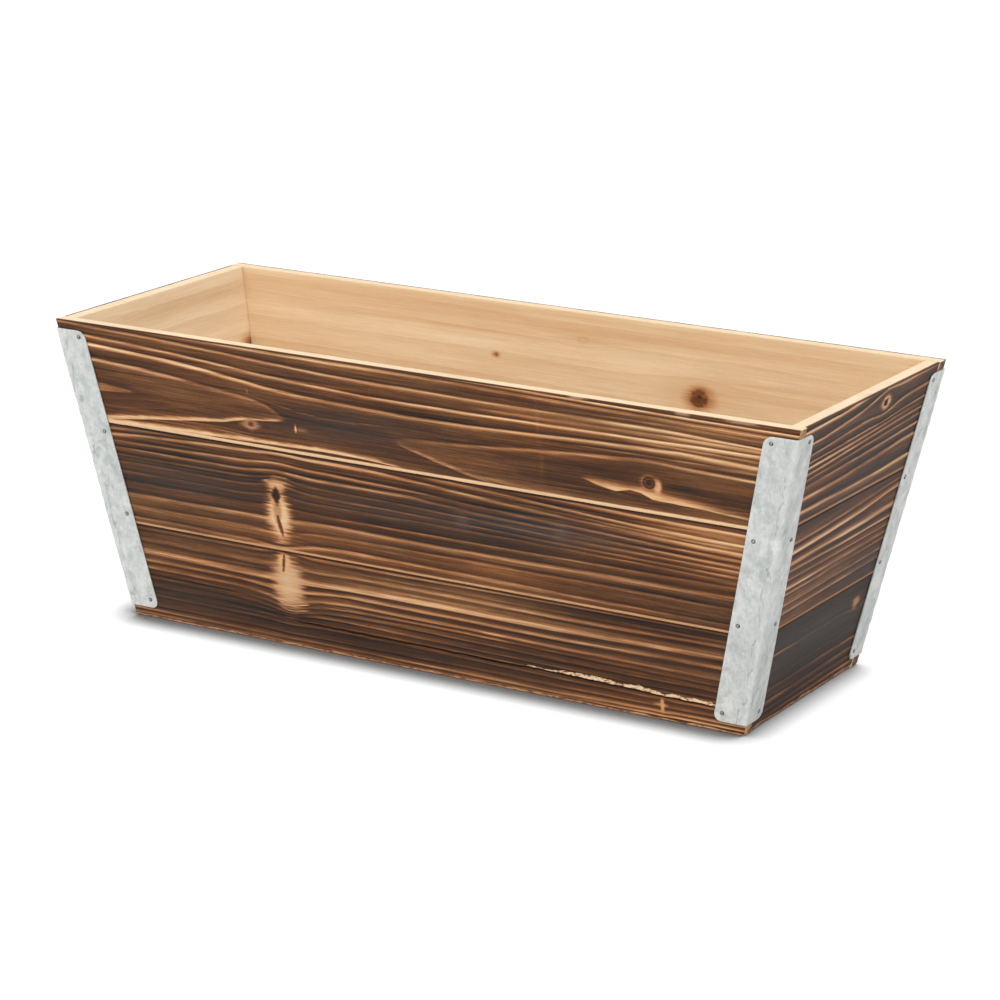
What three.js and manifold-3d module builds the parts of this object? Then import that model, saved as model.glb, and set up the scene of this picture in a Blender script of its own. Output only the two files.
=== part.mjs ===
// Window box planter: flared walls of three charred boards each, a raised two-board base
// with a drainage gap, and four nailed sheet-metal corner strips.
// Millimetres, +Z up, origin on the ground under the middle, +X along the length, -Y to the front.
import * as THREE from "three";
import { mergeVertices } from "three/addons/utils/BufferGeometryUtils.js";
import Module from "manifold-3d";

const wasm = await Module();
wasm.setup();

// ---- Box ----
const RIM_LENGTH = 500;
const RIM_WIDTH = 194;
const FOOT_LENGTH = 421;
const FOOT_WIDTH = 150;
const HEIGHT = 187.5;
const BOARD_THICKNESS = 9;
const JOINT_HEIGHTS = [62.5, 126.5];
const ARRIS_CHAMFER = 0.6;

// ---- Tongue and groove between the boards of a wall ----
const TONGUE_WIDTH = 3;
const TONGUE_HEIGHT = 3;
const TONGUE_SIDE_CLEARANCE = 0.15;
const TONGUE_END_CLEARANCE = 0.3;

// ---- Base ----
const BASE_UNDERSIDE = 6;
const BASE_THICKNESS = 9;
const DRAIN_GAP = 6;
const BASE_SIDE_CLEARANCE = 0.1;
const BASE_END_CLEARANCE = 0.3;

// ---- Corner strips ----
const STRIP_THICKNESS = 0.8;
const LONG_LEG = 20;
const END_LEG = 18.5;
const STRIP_BELOW_RIM = 5.6;
const STRIP_ABOVE_FOOT = 7;
const STRIP_CORNER_RADIUS = 5;
const BEND_RADIUS = 1.2;
const NAIL_FROM_STRIP_EDGE = 4.8;
const NAIL_FROM_STRIP_TOP = 3.9;
const NAIL_FROM_STRIP_FOOT = 5.3;
const NAIL_PLACES = [0, 0.353, 0.667, 1];

// ---- Nails of the strips ----
const NAIL_SHANK = 1.3;
const NAIL_LENGTH = 7.6;
const NAIL_POINT = 1.8;
const NAIL_HEAD = 2.8;
const NAIL_HEAD_RISE = 0.7;
const NAIL_HEAD_RIM = 0.2;
const NAIL_BORE_CLEARANCE = 0.3;

// ---- Brads that hold the base boards ----
const BRAD_POSITIONS = [-160, 0, 160];
const BRAD_SHANK = 1.4;
const BRAD_LENGTH = 25;
const BRAD_POINT = 2;
const BRAD_HEAD = 2.4;
const BRAD_HEAD_LENGTH = 1.2;
const BRAD_SUNK = 0.6;

const ROUND_SEGMENTS = 12;
const ARC_SEGMENTS = 6;
const CUT_MARGIN = 5;

// The side of the box seen at right angles: how far each wall leans out over the height.
const LONG_LEAN = Math.atan2((RIM_WIDTH - FOOT_WIDTH) / 2, HEIGHT);
const END_LEAN = Math.atan2((RIM_LENGTH - FOOT_LENGTH) / 2, HEIGHT);
const LONG_WALL_ACROSS = BOARD_THICKNESS / Math.cos(LONG_LEAN);
const END_WALL_ACROSS = BOARD_THICKNESS / Math.cos(END_LEAN);

const halfLengthAt = (z) => FOOT_LENGTH / 2 + z * Math.tan(END_LEAN);
const halfWidthAt = (z) => FOOT_WIDTH / 2 + z * Math.tan(LONG_LEAN);
const insideHalfLengthAt = (z) => halfLengthAt(z) - END_WALL_ACROSS;
const insideHalfWidthAt = (z) => halfWidthAt(z) - LONG_WALL_ACROSS;

// ---- Materials ----
const charredBoard = { color: 0x4b382e, roughness: 0.85, metalness: 0 };
const plainPine = { color: 0xd8b384, roughness: 0.7, metalness: 0 };
const galvanised = { color: 0xc6cbc9, roughness: 0.42, metalness: 0.9 };
const nailSteel = { color: 0x8d9290, roughness: 0.35, metalness: 1 };
const bradSteel = { color: 0x5a5450, roughness: 0.5, metalness: 1 };

function namedMesh(name, geometry, finish) {
  const mesh = new THREE.Mesh(geometry, new THREE.MeshStandardMaterial(finish));
  mesh.name = name;
  return mesh;
}

// ---- Solids ----

// Joins the outline's start points to its end points and closes both ends.
function solidBetween(outline, startOf, endOf) {
  const points = THREE.ShapeUtils.area(outline) < 0 ? [...outline].reverse() : outline;
  const count = points.length;
  const vertices = [...points.map(startOf), ...points.map(endOf)];
  const faces = [];
  for (const [a, b, c] of THREE.ShapeUtils.triangulateShape(points, [])) {
    faces.push([a, c, b], [count + a, count + b, count + c]);
  }
  for (let i = 0; i < count; i += 1) {
    const j = (i + 1) % count;
    faces.push([i, j, count + j], [i, count + j, count + i]);
  }
  const geometry = new THREE.BufferGeometry();
  geometry.setAttribute("position", new THREE.Float32BufferAttribute(
    vertices.flatMap((v) => [v.x, v.y, v.z]), 3));
  geometry.setIndex(faces.flat());
  return facingOut(geometry);
}

// Turns every face over if the solid came out inside-out.
function facingOut(geometry) {
  const position = geometry.getAttribute("position");
  const index = geometry.getIndex().array;
  const [a, b, c] = [new THREE.Vector3(), new THREE.Vector3(), new THREE.Vector3()];
  let volume = 0;
  for (let i = 0; i < index.length; i += 3) {
    a.fromBufferAttribute(position, index[i]);
    b.fromBufferAttribute(position, index[i + 1]);
    c.fromBufferAttribute(position, index[i + 2]);
    volume += a.dot(b.cross(c));
  }
  if (volume < 0) {
    for (let i = 0; i < index.length; i += 3) {
      [index[i + 1], index[i + 2]] = [index[i + 2], index[i + 1]];
    }
  }
  return geometry;
}

function toManifold(geometry) {
  const plain = geometry.clone();
  plain.deleteAttribute("normal");
  plain.deleteAttribute("uv");
  const merged = mergeVertices(plain, 1e-5);
  return new wasm.Manifold(new wasm.Mesh({
    numProp: 3,
    vertProperties: new Float32Array(merged.getAttribute("position").array),
    triVerts: new Uint32Array(merged.getIndex().array),
  }));
}

function fromManifold(solid) {
  const mesh = solid.getMesh();
  const geometry = new THREE.BufferGeometry();
  geometry.setAttribute("position", new THREE.Float32BufferAttribute(mesh.vertProperties, 3));
  geometry.setIndex(Array.from(mesh.triVerts));
  return flatShaded(geometry);
}

function flatShaded(geometry) {
  const flat = geometry.index ? geometry.toNonIndexed() : geometry;
  flat.computeVertexNormals();
  return flat;
}

function cutAway(geometry, tools) {
  let solid = toManifold(geometry);
  for (const tool of tools) {
    solid = solid.subtract(toManifold(tool));
  }
  return fromManifold(solid);
}

// A closed outline whose corners carry their own radius: [x, y, radius].
function filletedShape(corners) {
  const shape = new THREE.Shape();
  corners.forEach(([x, y, radius], i) => {
    const before = corners.at(i - 1);
    const after = corners[(i + 1) % corners.length];
    const corner = new THREE.Vector2(x, y);
    const back = new THREE.Vector2(before[0], before[1]).sub(corner).normalize();
    const on = new THREE.Vector2(after[0], after[1]).sub(corner).normalize();
    const halfAngle = Math.acos(back.dot(on)) / 2;
    const reach = radius / Math.tan(halfAngle);
    const start = corner.clone().addScaledVector(back, reach);
    if (i === 0) shape.moveTo(start.x, start.y);
    else shape.lineTo(start.x, start.y);
    if (radius > 0) {
      const toCentre = back.clone().add(on).normalize();
      const centre = corner.clone().addScaledVector(toCentre, radius / Math.sin(halfAngle));
      const end = corner.clone().addScaledVector(on, reach);
      const clockwise = back.cross(on) > 0;
      shape.absarc(centre.x, centre.y, radius, start.clone().sub(centre).angle(),
        end.clone().sub(centre).angle(), clockwise);
    }
  });
  return shape;
}

// ---- Walls ----

// A wall seen end-on: "up" runs along its outer face from the foot, "deep" goes into the wood.
// The result is [distance out from the box's middle, height].
function wallPoint(footHalf, lean, up, deep) {
  return new THREE.Vector2(
    footHalf + up * Math.sin(lean) - deep * Math.cos(lean),
    up * Math.cos(lean) + deep * Math.sin(lean));
}

// One board's end-on outline, as [up, deep] pairs: the foot and the rim are cut level, and the
// edges between boards are square, with a tongue on top and a groove below.
function boardOutline(lean, index) {
  const deep = BOARD_THICKNESS;
  const chamfer = ARRIS_CHAMFER;
  const middle = deep / 2;
  const isFoot = index === 0;
  const isRim = index === JOINT_HEIGHTS.length;
  const low = isFoot ? 0 : JOINT_HEIGHTS[index - 1] / Math.cos(lean);
  const high = (isRim ? HEIGHT : JOINT_HEIGHTS[index]) / Math.cos(lean);
  const outline = [[low + chamfer, 0], [high - chamfer, 0]];
  if (isRim) {
    const levelDrop = Math.tan(lean);
    outline.push([high - chamfer * levelDrop, chamfer], [high - deep * levelDrop, deep]);
  } else {
    const half = TONGUE_WIDTH / 2;
    outline.push([high, chamfer], [high, middle - half], [high + TONGUE_HEIGHT, middle - half],
      [high + TONGUE_HEIGHT, middle + half], [high, middle + half], [high, deep]);
  }
  if (isFoot) {
    const levelDrop = Math.tan(lean);
    outline.push([-deep * levelDrop, deep], [-chamfer * levelDrop, chamfer]);
  } else {
    const half = TONGUE_WIDTH / 2 + TONGUE_SIDE_CLEARANCE;
    const top = low + TONGUE_HEIGHT + TONGUE_END_CLEARANCE;
    outline.push([low, deep], [low, middle + half], [top, middle + half],
      [top, middle - half], [low, middle - half], [low, chamfer]);
  }
  return outline;
}

// The boards of the front wall run the full length and cover the ends of the end boards.
function frontBoard(index, bores) {
  const outline = boardOutline(LONG_LEAN, index).map(
    ([up, deep]) => wallPoint(FOOT_WIDTH / 2, LONG_LEAN, up, deep));
  const solid = solidBetween(outline,
    (p) => new THREE.Vector3(-halfLengthAt(p.y), -p.x, p.y),
    (p) => new THREE.Vector3(halfLengthAt(p.y), -p.x, p.y));
  return cutAway(solid, bores);
}

// The boards of the right end stand between the front and the back walls.
function rightEndBoard(index, bores) {
  const outline = boardOutline(END_LEAN, index).map(
    ([up, deep]) => wallPoint(FOOT_LENGTH / 2, END_LEAN, up, deep));
  const solid = solidBetween(outline,
    (p) => new THREE.Vector3(p.x, -insideHalfWidthAt(p.y), p.y),
    (p) => new THREE.Vector3(p.x, insideHalfWidthAt(p.y), p.y));
  return cutAway(solid, bores);
}

// ---- Base ----

function frontBaseBoard(bores) {
  const low = BASE_UNDERSIDE;
  const high = BASE_UNDERSIDE + BASE_THICKNESS;
  const outline = [
    new THREE.Vector2(DRAIN_GAP / 2, low),
    new THREE.Vector2(insideHalfWidthAt(low) - BASE_SIDE_CLEARANCE, low),
    new THREE.Vector2(insideHalfWidthAt(high) - BASE_SIDE_CLEARANCE, high),
    new THREE.Vector2(DRAIN_GAP / 2, high),
  ];
  const halfRun = (z) => insideHalfLengthAt(z) - BASE_END_CLEARANCE;
  const solid = solidBetween(outline,
    (p) => new THREE.Vector3(-halfRun(p.y), -p.x, p.y),
    (p) => new THREE.Vector3(halfRun(p.y), -p.x, p.y));
  return cutAway(solid, bores);
}

// ---- Nails and brads: turned about Y, the head's seat at the origin and the point at +Y ----

function turned(profile) {
  const points = profile.map(([radius, y]) => new THREE.Vector2(radius, y));
  const lathe = new THREE.LatheGeometry(points, ROUND_SEGMENTS);
  return flatShaded(fromManifold(toManifold(facingOut(lathe))));
}

function stripNail() {
  const headArc = [];
  for (let i = 0; i <= ARC_SEGMENTS / 2; i += 1) {
    const turn = (i / (ARC_SEGMENTS / 2)) * Math.PI / 2;
    const rise = NAIL_HEAD_RIM + (NAIL_HEAD_RISE - NAIL_HEAD_RIM) * Math.cos(turn);
    headArc.push([(NAIL_HEAD / 2) * Math.sin(turn), -rise]);
  }
  return turned([
    ...headArc,
    [NAIL_HEAD / 2, 0],
    [NAIL_SHANK / 2, 0],
    [NAIL_SHANK / 2, NAIL_LENGTH - NAIL_POINT],
    [0, NAIL_LENGTH],
  ]);
}

function baseBrad() {
  return turned([
    [0, 0],
    [BRAD_HEAD / 2, 0],
    [BRAD_HEAD / 2, BRAD_HEAD_LENGTH],
    [BRAD_SHANK / 2, BRAD_HEAD_LENGTH],
    [BRAD_SHANK / 2, BRAD_LENGTH - BRAD_POINT],
    [0, BRAD_LENGTH],
  ]);
}

// A round cutter about Y, from one depth to another.
function bore(diameter, from, to) {
  const radius = diameter / 2;
  const cutter = new THREE.CylinderGeometry(radius, radius, to - from, ROUND_SEGMENTS);
  cutter.translate(0, (from + to) / 2, 0);
  return cutter;
}

// ---- Corner strips: drawn at the front right corner ----

const STRIP_TOP = HEIGHT - STRIP_BELOW_RIM;
const STRIP_FOOT = STRIP_ABOVE_FOOT;

// The strip's level section is the same at every height and follows the leaning corner.
function stripSection() {
  const frontAcross = STRIP_THICKNESS / Math.cos(LONG_LEAN);
  const endAcross = STRIP_THICKNESS / Math.cos(END_LEAN);
  const shape = filletedShape([
    [-LONG_LEG, 0, 0],
    [-LONG_LEG, -frontAcross, 0],
    [endAcross, -frontAcross, BEND_RADIUS],
    [endAcross, END_LEG, 0],
    [0, END_LEG, 0],
    [0, 0, 0],
  ]);
  return shape.getPoints(ARC_SEGMENTS);
}

// A leg's outline seen square to the wall, with its two free corners rounded; it runs on past
// the bend so that it trims nothing there. "at" gives the corner's place at each height.
function legOutline(at, leg) {
  const beyond = CUT_MARGIN;
  const inward = -Math.sign(at(0));
  return filletedShape([
    [at(STRIP_FOOT) + inward * leg, STRIP_FOOT, STRIP_CORNER_RADIUS],
    [at(STRIP_FOOT) - inward * beyond, STRIP_FOOT, 0],
    [at(STRIP_TOP) - inward * beyond, STRIP_TOP, 0],
    [at(STRIP_TOP) + inward * leg, STRIP_TOP, STRIP_CORNER_RADIUS],
  ]);
}

function cornerStrip(bores) {
  const cornerX = (z) => halfLengthAt(z);
  const cornerY = (z) => -halfWidthAt(z);
  const blank = solidBetween(stripSection(),
    (p) => new THREE.Vector3(cornerX(STRIP_FOOT) + p.x, cornerY(STRIP_FOOT) + p.y, STRIP_FOOT),
    (p) => new THREE.Vector3(cornerX(STRIP_TOP) + p.x, cornerY(STRIP_TOP) + p.y, STRIP_TOP));
  const options = { depth: 2 * RIM_LENGTH, bevelEnabled: false, curveSegments: ARC_SEGMENTS };

  const frontTrim = new THREE.ExtrudeGeometry(legOutline(cornerX, LONG_LEG), options);
  frontTrim.translate(0, 0, -options.depth / 2);
  frontTrim.rotateX(Math.PI / 2);

  const endTrim = new THREE.ExtrudeGeometry(legOutline(cornerY, END_LEG), options);
  endTrim.translate(0, 0, -options.depth / 2);
  endTrim.applyMatrix4(new THREE.Matrix4().makeBasis(
    new THREE.Vector3(0, 1, 0), new THREE.Vector3(0, 0, 1), new THREE.Vector3(1, 0, 0)));

  const trimmed = toManifold(blank)
    .intersect(toManifold(frontTrim))
    .intersect(toManifold(endTrim));
  return cutAway(fromManifold(trimmed), bores);
}

// ---- Where the nails go ----

const INTO_FRONT = new THREE.Vector3(0, Math.cos(LONG_LEAN), Math.sin(LONG_LEAN));
const INTO_RIGHT_END = new THREE.Vector3(-Math.cos(END_LEAN), 0, Math.sin(END_LEAN));
const INTO_BASE = new THREE.Vector3(0, 1, 0);
const BORE_AXIS = new THREE.Vector3(0, 1, 0);

// The nails stand between the first and the last of a leg, each at its place down that run.
const FIRST_NAIL = STRIP_TOP - NAIL_FROM_STRIP_TOP;
const LAST_NAIL = STRIP_FOOT + NAIL_FROM_STRIP_FOOT;
const nailHeights = NAIL_PLACES.map((place) => FIRST_NAIL - place * (FIRST_NAIL - LAST_NAIL));

// A seat is a point on a wall's outer face and the direction into the wood.
function frontSeat(z) {
  const x = halfLengthAt(z) - LONG_LEG + NAIL_FROM_STRIP_EDGE;
  return { point: new THREE.Vector3(x, -halfWidthAt(z), z), into: INTO_FRONT };
}

function rightEndSeat(z) {
  const y = -halfWidthAt(z) + END_LEG - NAIL_FROM_STRIP_EDGE;
  return { point: new THREE.Vector3(halfLengthAt(z), y, z), into: INTO_RIGHT_END };
}

function bradSeat(x) {
  const z = BASE_UNDERSIDE + BASE_THICKNESS / 2;
  return { point: new THREE.Vector3(x, -halfWidthAt(z) + BRAD_SUNK, z), into: INTO_BASE };
}

// Moves something drawn about Y to a seat, "deep" millimetres into the wood.
function placeAt(thing, seat, deep) {
  thing.quaternion.setFromUnitVectors(BORE_AXIS, seat.into);
  thing.position.copy(seat.point).addScaledVector(seat.into, deep);
  return thing;
}

function cutterAt(geometry, seat) {
  const carrier = placeAt(new THREE.Object3D(), seat, 0);
  carrier.updateMatrix();
  return geometry.clone().applyMatrix4(carrier.matrix);
}

function mirroredX(geometry) {
  return facingOut(mergeVertices(geometry.clone().scale(-1, 1, 1)));
}

function mirroredY(geometry) {
  return facingOut(mergeVertices(geometry.clone().scale(1, -1, 1)));
}

const nailCutter = bore(NAIL_SHANK + NAIL_BORE_CLEARANCE, -CUT_MARGIN,
  NAIL_LENGTH - STRIP_THICKNESS + NAIL_BORE_CLEARANCE);
const bradCutter = bore(BRAD_SHANK + NAIL_BORE_CLEARANCE, 0, BRAD_LENGTH + NAIL_BORE_CLEARANCE);
const bradHeadCutter = bore(BRAD_HEAD + NAIL_BORE_CLEARANCE, -CUT_MARGIN, BRAD_HEAD_LENGTH);

const frontSeats = nailHeights.map(frontSeat);
const rightEndSeats = nailHeights.map(rightEndSeat);
const bradSeats = BRAD_POSITIONS.map(bradSeat);

const frontNailBores = frontSeats.map((seat) => cutterAt(nailCutter, seat));
const rightEndNailBores = rightEndSeats.map((seat) => cutterAt(nailCutter, seat));
const bradBores = bradSeats.map((seat) => cutterAt(bradCutter, seat));
const bradHeadBores = bradSeats.map((seat) => cutterAt(bradHeadCutter, seat));

// ---- Sub-assemblies ----

function longWall(side) {
  const bores = [...frontNailBores, ...frontNailBores.map(mirroredX)];
  const wall = new THREE.Group();
  for (let i = 0; i <= JOINT_HEIGHTS.length; i += 1) {
    const cutters = i === 0 ? [...bores, ...bradBores, ...bradHeadBores] : bores;
    wall.add(namedMesh(`${side}_board_${i + 1}`, frontBoard(i, cutters), charredBoard));
  }
  bradSeats.forEach((seat, i) => {
    const brad = namedMesh(`base_brad_${side}_${i + 1}`, baseBrad(), bradSteel);
    wall.add(placeAt(brad, seat, 0));
  });
  wall.add(namedMesh(`base_board_${side}`, frontBaseBoard(bradBores), plainPine));
  return wall;
}

function endWall(side) {
  const bores = [...rightEndNailBores, ...rightEndNailBores.map(mirroredY)];
  const wall = new THREE.Group();
  for (let i = 0; i <= JOINT_HEIGHTS.length; i += 1) {
    wall.add(namedMesh(`${side}_end_board_${i + 1}`, rightEndBoard(i, bores), charredBoard));
  }
  return wall;
}

function corner(name) {
  const group = new THREE.Group();
  const bores = [...frontNailBores, ...rightEndNailBores];
  group.add(namedMesh(`corner_strip_${name}`, cornerStrip(bores), galvanised));
  const legs = [["long", frontSeats], ["end", rightEndSeats]];
  for (const [leg, seats] of legs) {
    seats.forEach((seat, i) => {
      const nail = namedMesh(`nail_${name}_${leg}_${i + 1}`, stripNail(), nailSteel);
      group.add(placeAt(nail, seat, -STRIP_THICKNESS));
    });
  }
  return group;
}

// ---- The planter ----

const planter = new THREE.Group();

const frontWall = longWall("front");
const backWall = longWall("back");
backWall.rotation.z = Math.PI;
const rightWall = endWall("right");
const leftWall = endWall("left");
leftWall.rotation.z = Math.PI;
planter.add(frontWall, backWall, rightWall, leftWall);

const frontRight = corner("front_right");
const frontLeft = corner("front_left");
frontLeft.scale.x = -1;
const backLeft = corner("back_left");
backLeft.rotation.z = Math.PI;
const backRight = corner("back_right");
backRight.scale.y = -1;
planter.add(frontRight, frontLeft, backLeft, backRight);

export default planter;
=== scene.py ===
"""Window box planter: charred pine walls, a two-board base and nailed galvanised corner strips.

Sizes inside the classes are millimetres; a mesh is written in metres. "Along" runs with the
grain, "height" is the level above the ground, and "deep" goes into the wood from outside.
"""
from __future__ import annotations

import logging
import math
from dataclasses import dataclass, field, replace
from enum import Enum
from typing import Callable, Sequence

import bmesh
import bpy
import numpy as np
from mathutils import Matrix, Vector

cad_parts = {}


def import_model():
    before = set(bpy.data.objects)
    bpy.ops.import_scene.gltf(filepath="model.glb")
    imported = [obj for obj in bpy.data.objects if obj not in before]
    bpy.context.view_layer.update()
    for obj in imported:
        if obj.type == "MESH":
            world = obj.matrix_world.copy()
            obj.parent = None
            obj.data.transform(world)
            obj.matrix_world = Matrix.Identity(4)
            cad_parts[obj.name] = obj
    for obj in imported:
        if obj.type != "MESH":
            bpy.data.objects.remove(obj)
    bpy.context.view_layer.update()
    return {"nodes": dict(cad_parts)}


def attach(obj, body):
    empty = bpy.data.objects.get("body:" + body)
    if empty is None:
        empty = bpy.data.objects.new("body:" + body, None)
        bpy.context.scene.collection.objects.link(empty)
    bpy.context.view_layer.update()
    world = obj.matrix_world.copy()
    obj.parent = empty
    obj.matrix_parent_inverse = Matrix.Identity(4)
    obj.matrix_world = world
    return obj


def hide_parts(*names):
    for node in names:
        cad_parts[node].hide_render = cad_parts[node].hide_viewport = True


LOG = logging.getLogger("planter")
MM = 0.001

Array = np.ndarray
Point = tuple[float, float]


# ---------------------------------------------------------------- noise and curves

def lattice(i: Array, j: Array, seed: float) -> Array:
    """Gives a repeatable value from 0 to 1 for each lattice point.

    Args:
        i: lattice columns.
        j: lattice rows.
        seed: picks one pattern.

    Returns:
        One value per point.
    """
    wave = np.sin(i * 127.1 + j * 311.7 + seed * 74.7) * 43758.5453
    return wave - np.floor(wave)


def value_noise(x: Array, y: Array, seed: float) -> Array:
    """Smooth noise from 0 to 1 with features about one unit wide.

    Args:
        x: first coordinate.
        y: second coordinate.
        seed: picks one pattern.

    Returns:
        One value per point.
    """
    i, j = np.floor(x), np.floor(y)
    fx, fy = x - i, y - j
    fx, fy = fx * fx * (3 - 2 * fx), fy * fy * (3 - 2 * fy)
    low = lattice(i, j, seed) * (1 - fx) + lattice(i + 1, j, seed) * fx
    high = lattice(i, j + 1, seed) * (1 - fx) + lattice(i + 1, j + 1, seed) * fx
    return low * (1 - fy) + high * fy


def layered_noise(x: Array, y: Array, seed: float, layers: int = 3) -> Array:
    """Adds finer noise to coarse noise, each layer half as strong.

    Args:
        x: first coordinate.
        y: second coordinate.
        seed: picks one pattern.
        layers: how many layers there are.

    Returns:
        One value from 0 to 1 per point.
    """
    total, weight, scale = np.zeros_like(x), 0.0, 1.0
    for layer in range(layers):
        total += value_noise(x * scale, y * scale, seed + layer * 3.7) / scale
        weight += 1 / scale
        scale *= 2
    return total / weight


def smooth_step(low: float | Array, high: float | Array, value: Array) -> Array:
    """Rises smoothly from 0 at low to 1 at high; falls where low is above high."""
    t = np.clip((value - low) / (high - low), 0, 1)
    return t * t * (3 - 2 * t)


def curve_through(points: Sequence[Sequence[float]], x: Array, column: int = 1) -> Array:
    """Reads a drawn line at each x, straight between its points.

    Args:
        points: the line's points, left to right.
        x: where to read it.
        column: which value of each point is read.

    Returns:
        The value at each x.
    """
    return np.interp(x, [p[0] for p in points], [p[column] for p in points])


# ---------------------------------------------------------------- the box's sizes

@dataclass(frozen=True)
class BoxSizes:
    """The planter's sizes in millimetres, as built in the CAD part."""

    rim_length: float = 500
    rim_width: float = 194
    foot_length: float = 421
    foot_width: float = 150
    height: float = 187.5
    board: float = 9
    joints: tuple[float, float] = (61.2, 125)
    tongue_width: float = 3
    tongue_height: float = 3
    tongue_side_gap: float = 0.15
    tongue_end_gap: float = 0.3
    base_underside: float = 6
    base_board: float = 9
    drain_gap: float = 6
    base_side_gap: float = 0.1
    base_end_gap: float = 0.3
    strip: float = 0.8
    long_leg: float = 20
    end_leg: float = 18.5
    strip_below_rim: float = 5.6
    strip_above_foot: float = 7
    strip_corner: float = 5
    bend: float = 1.2
    nail_from_edge: float = 4.8
    nail_from_top: float = 3.9
    nail_from_foot: float = 5.3
    nail_places: tuple[float, ...] = (0, 0.353, 0.667, 1)
    brads: tuple[float, ...] = (-160, 0, 160)

    @property
    def long_slope(self) -> float:
        """How far a long wall moves out for each millimetre of height."""
        return (self.rim_width - self.foot_width) / 2 / self.height

    @property
    def end_slope(self) -> float:
        """How far an end wall moves out for each millimetre of height."""
        return (self.rim_length - self.foot_length) / 2 / self.height

    @property
    def strip_top(self) -> float:
        """Height of the strips' upper edge."""
        return self.height - self.strip_below_rim

    @property
    def nail_heights(self) -> list[float]:
        """Heights of the four nails of a leg, from the top one down.

        Returns:
            Four heights.
        """
        first = self.strip_top - self.nail_from_top
        last = self.strip_above_foot + self.nail_from_foot
        return [first - place * (first - last) for place in self.nail_places]

    def half_length(self, z: Array | float) -> Array | float:
        """Half the outside length at a height."""
        return self.foot_length / 2 + z * self.end_slope

    def half_width(self, z: Array | float) -> Array | float:
        """Half the outside width at a height."""
        return self.foot_width / 2 + z * self.long_slope

    def inside_half_length(self, z: Array | float) -> Array | float:
        """Half the inside length at a height."""
        return self.half_length(z) - self.board * math.hypot(1, self.end_slope)

    def inside_half_width(self, z: Array | float) -> Array | float:
        """Half the inside width at a height."""
        return self.half_width(z) - self.board * math.hypot(1, self.long_slope)


# ---------------------------------------------------------------- grain of a face

@dataclass(frozen=True)
class GrainLine:
    """One growth line: (along, height) points, or (along, height, ring) where the ring varies.

    Pale gives how charred its bright edge is along it, and wide how wide that edge is.
    """

    ring: float
    points: tuple[tuple[float, ...], ...]
    pale: tuple[Point, ...] = ()
    wide: float = 2.0

    def rings_at(self, along: Array) -> Array:
        """The line's ring number along it.

        Args:
            along: places along the grain.

        Returns:
            Ring numbers.
        """
        if len(self.points[0]) == 3:
            return curve_through(self.points, along, 2)
        return np.full_like(along, self.ring)


@dataclass(frozen=True)
class Scorch:
    """A soft patch that the flame left darker, or paler where the change is negative.

    Ash greys it, and calm fades its growth lines.
    """

    at: Point
    reach: Point
    change: float
    ash: float = 0.0
    calm: float = 0.0

    def cover(self, along: Array, height: Array) -> Array:
        """How far each point lies inside the patch, 1 in its middle.

        Args:
            along: places along the grain.
            height: heights.

        Returns:
            One value per point.
        """
        u = (along - self.at[0]) / self.reach[0]
        v = (height - self.at[1]) / self.reach[1]
        return np.exp(-(u * u + v * v))


@dataclass(frozen=True)
class PaleStreak:
    """Wood that the flame spared: crisp along its lower line, soft along its upper one."""

    lower: tuple[Point, ...]
    upper: tuple[Point, ...]
    char: float = 0.3
    upper_fade: float = 1.6
    lower_fade: float = 0.5


@dataclass(frozen=True)
class Knot:
    """A knot: its dark core, the pale wood around it and how far it pushes the grain aside.

    A core much taller than wide is a split spindle of a branch cut lengthwise. Without a core only the
    pale wood shows, and without a push the grain runs straight on.
    """

    at: Point
    halo: Point
    core: Point | None = None
    push: Point | None = None
    push_strength: float = 0.9
    halo_char: float = 0.22
    core_char: float = 0.9
    core_colour: float = 0.0
    slit: tuple[Point, ...] = ()
    slit_width: float = 0.8
    slit_char: float = 1.0
    rings: float = 0.0
    ring_depth: float = 0.0
    feather: float = 0.5
    square: float = 2.0
    greyed: float = 0.0


@dataclass(frozen=True)
class Split:
    """A split along the grain, with wood torn away above it."""

    path: tuple[Point, ...]
    width: float = 0.7
    depth: float = 1.6
    torn: tuple[Point, ...] = ()
    torn_depth: float = 0.7


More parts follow.
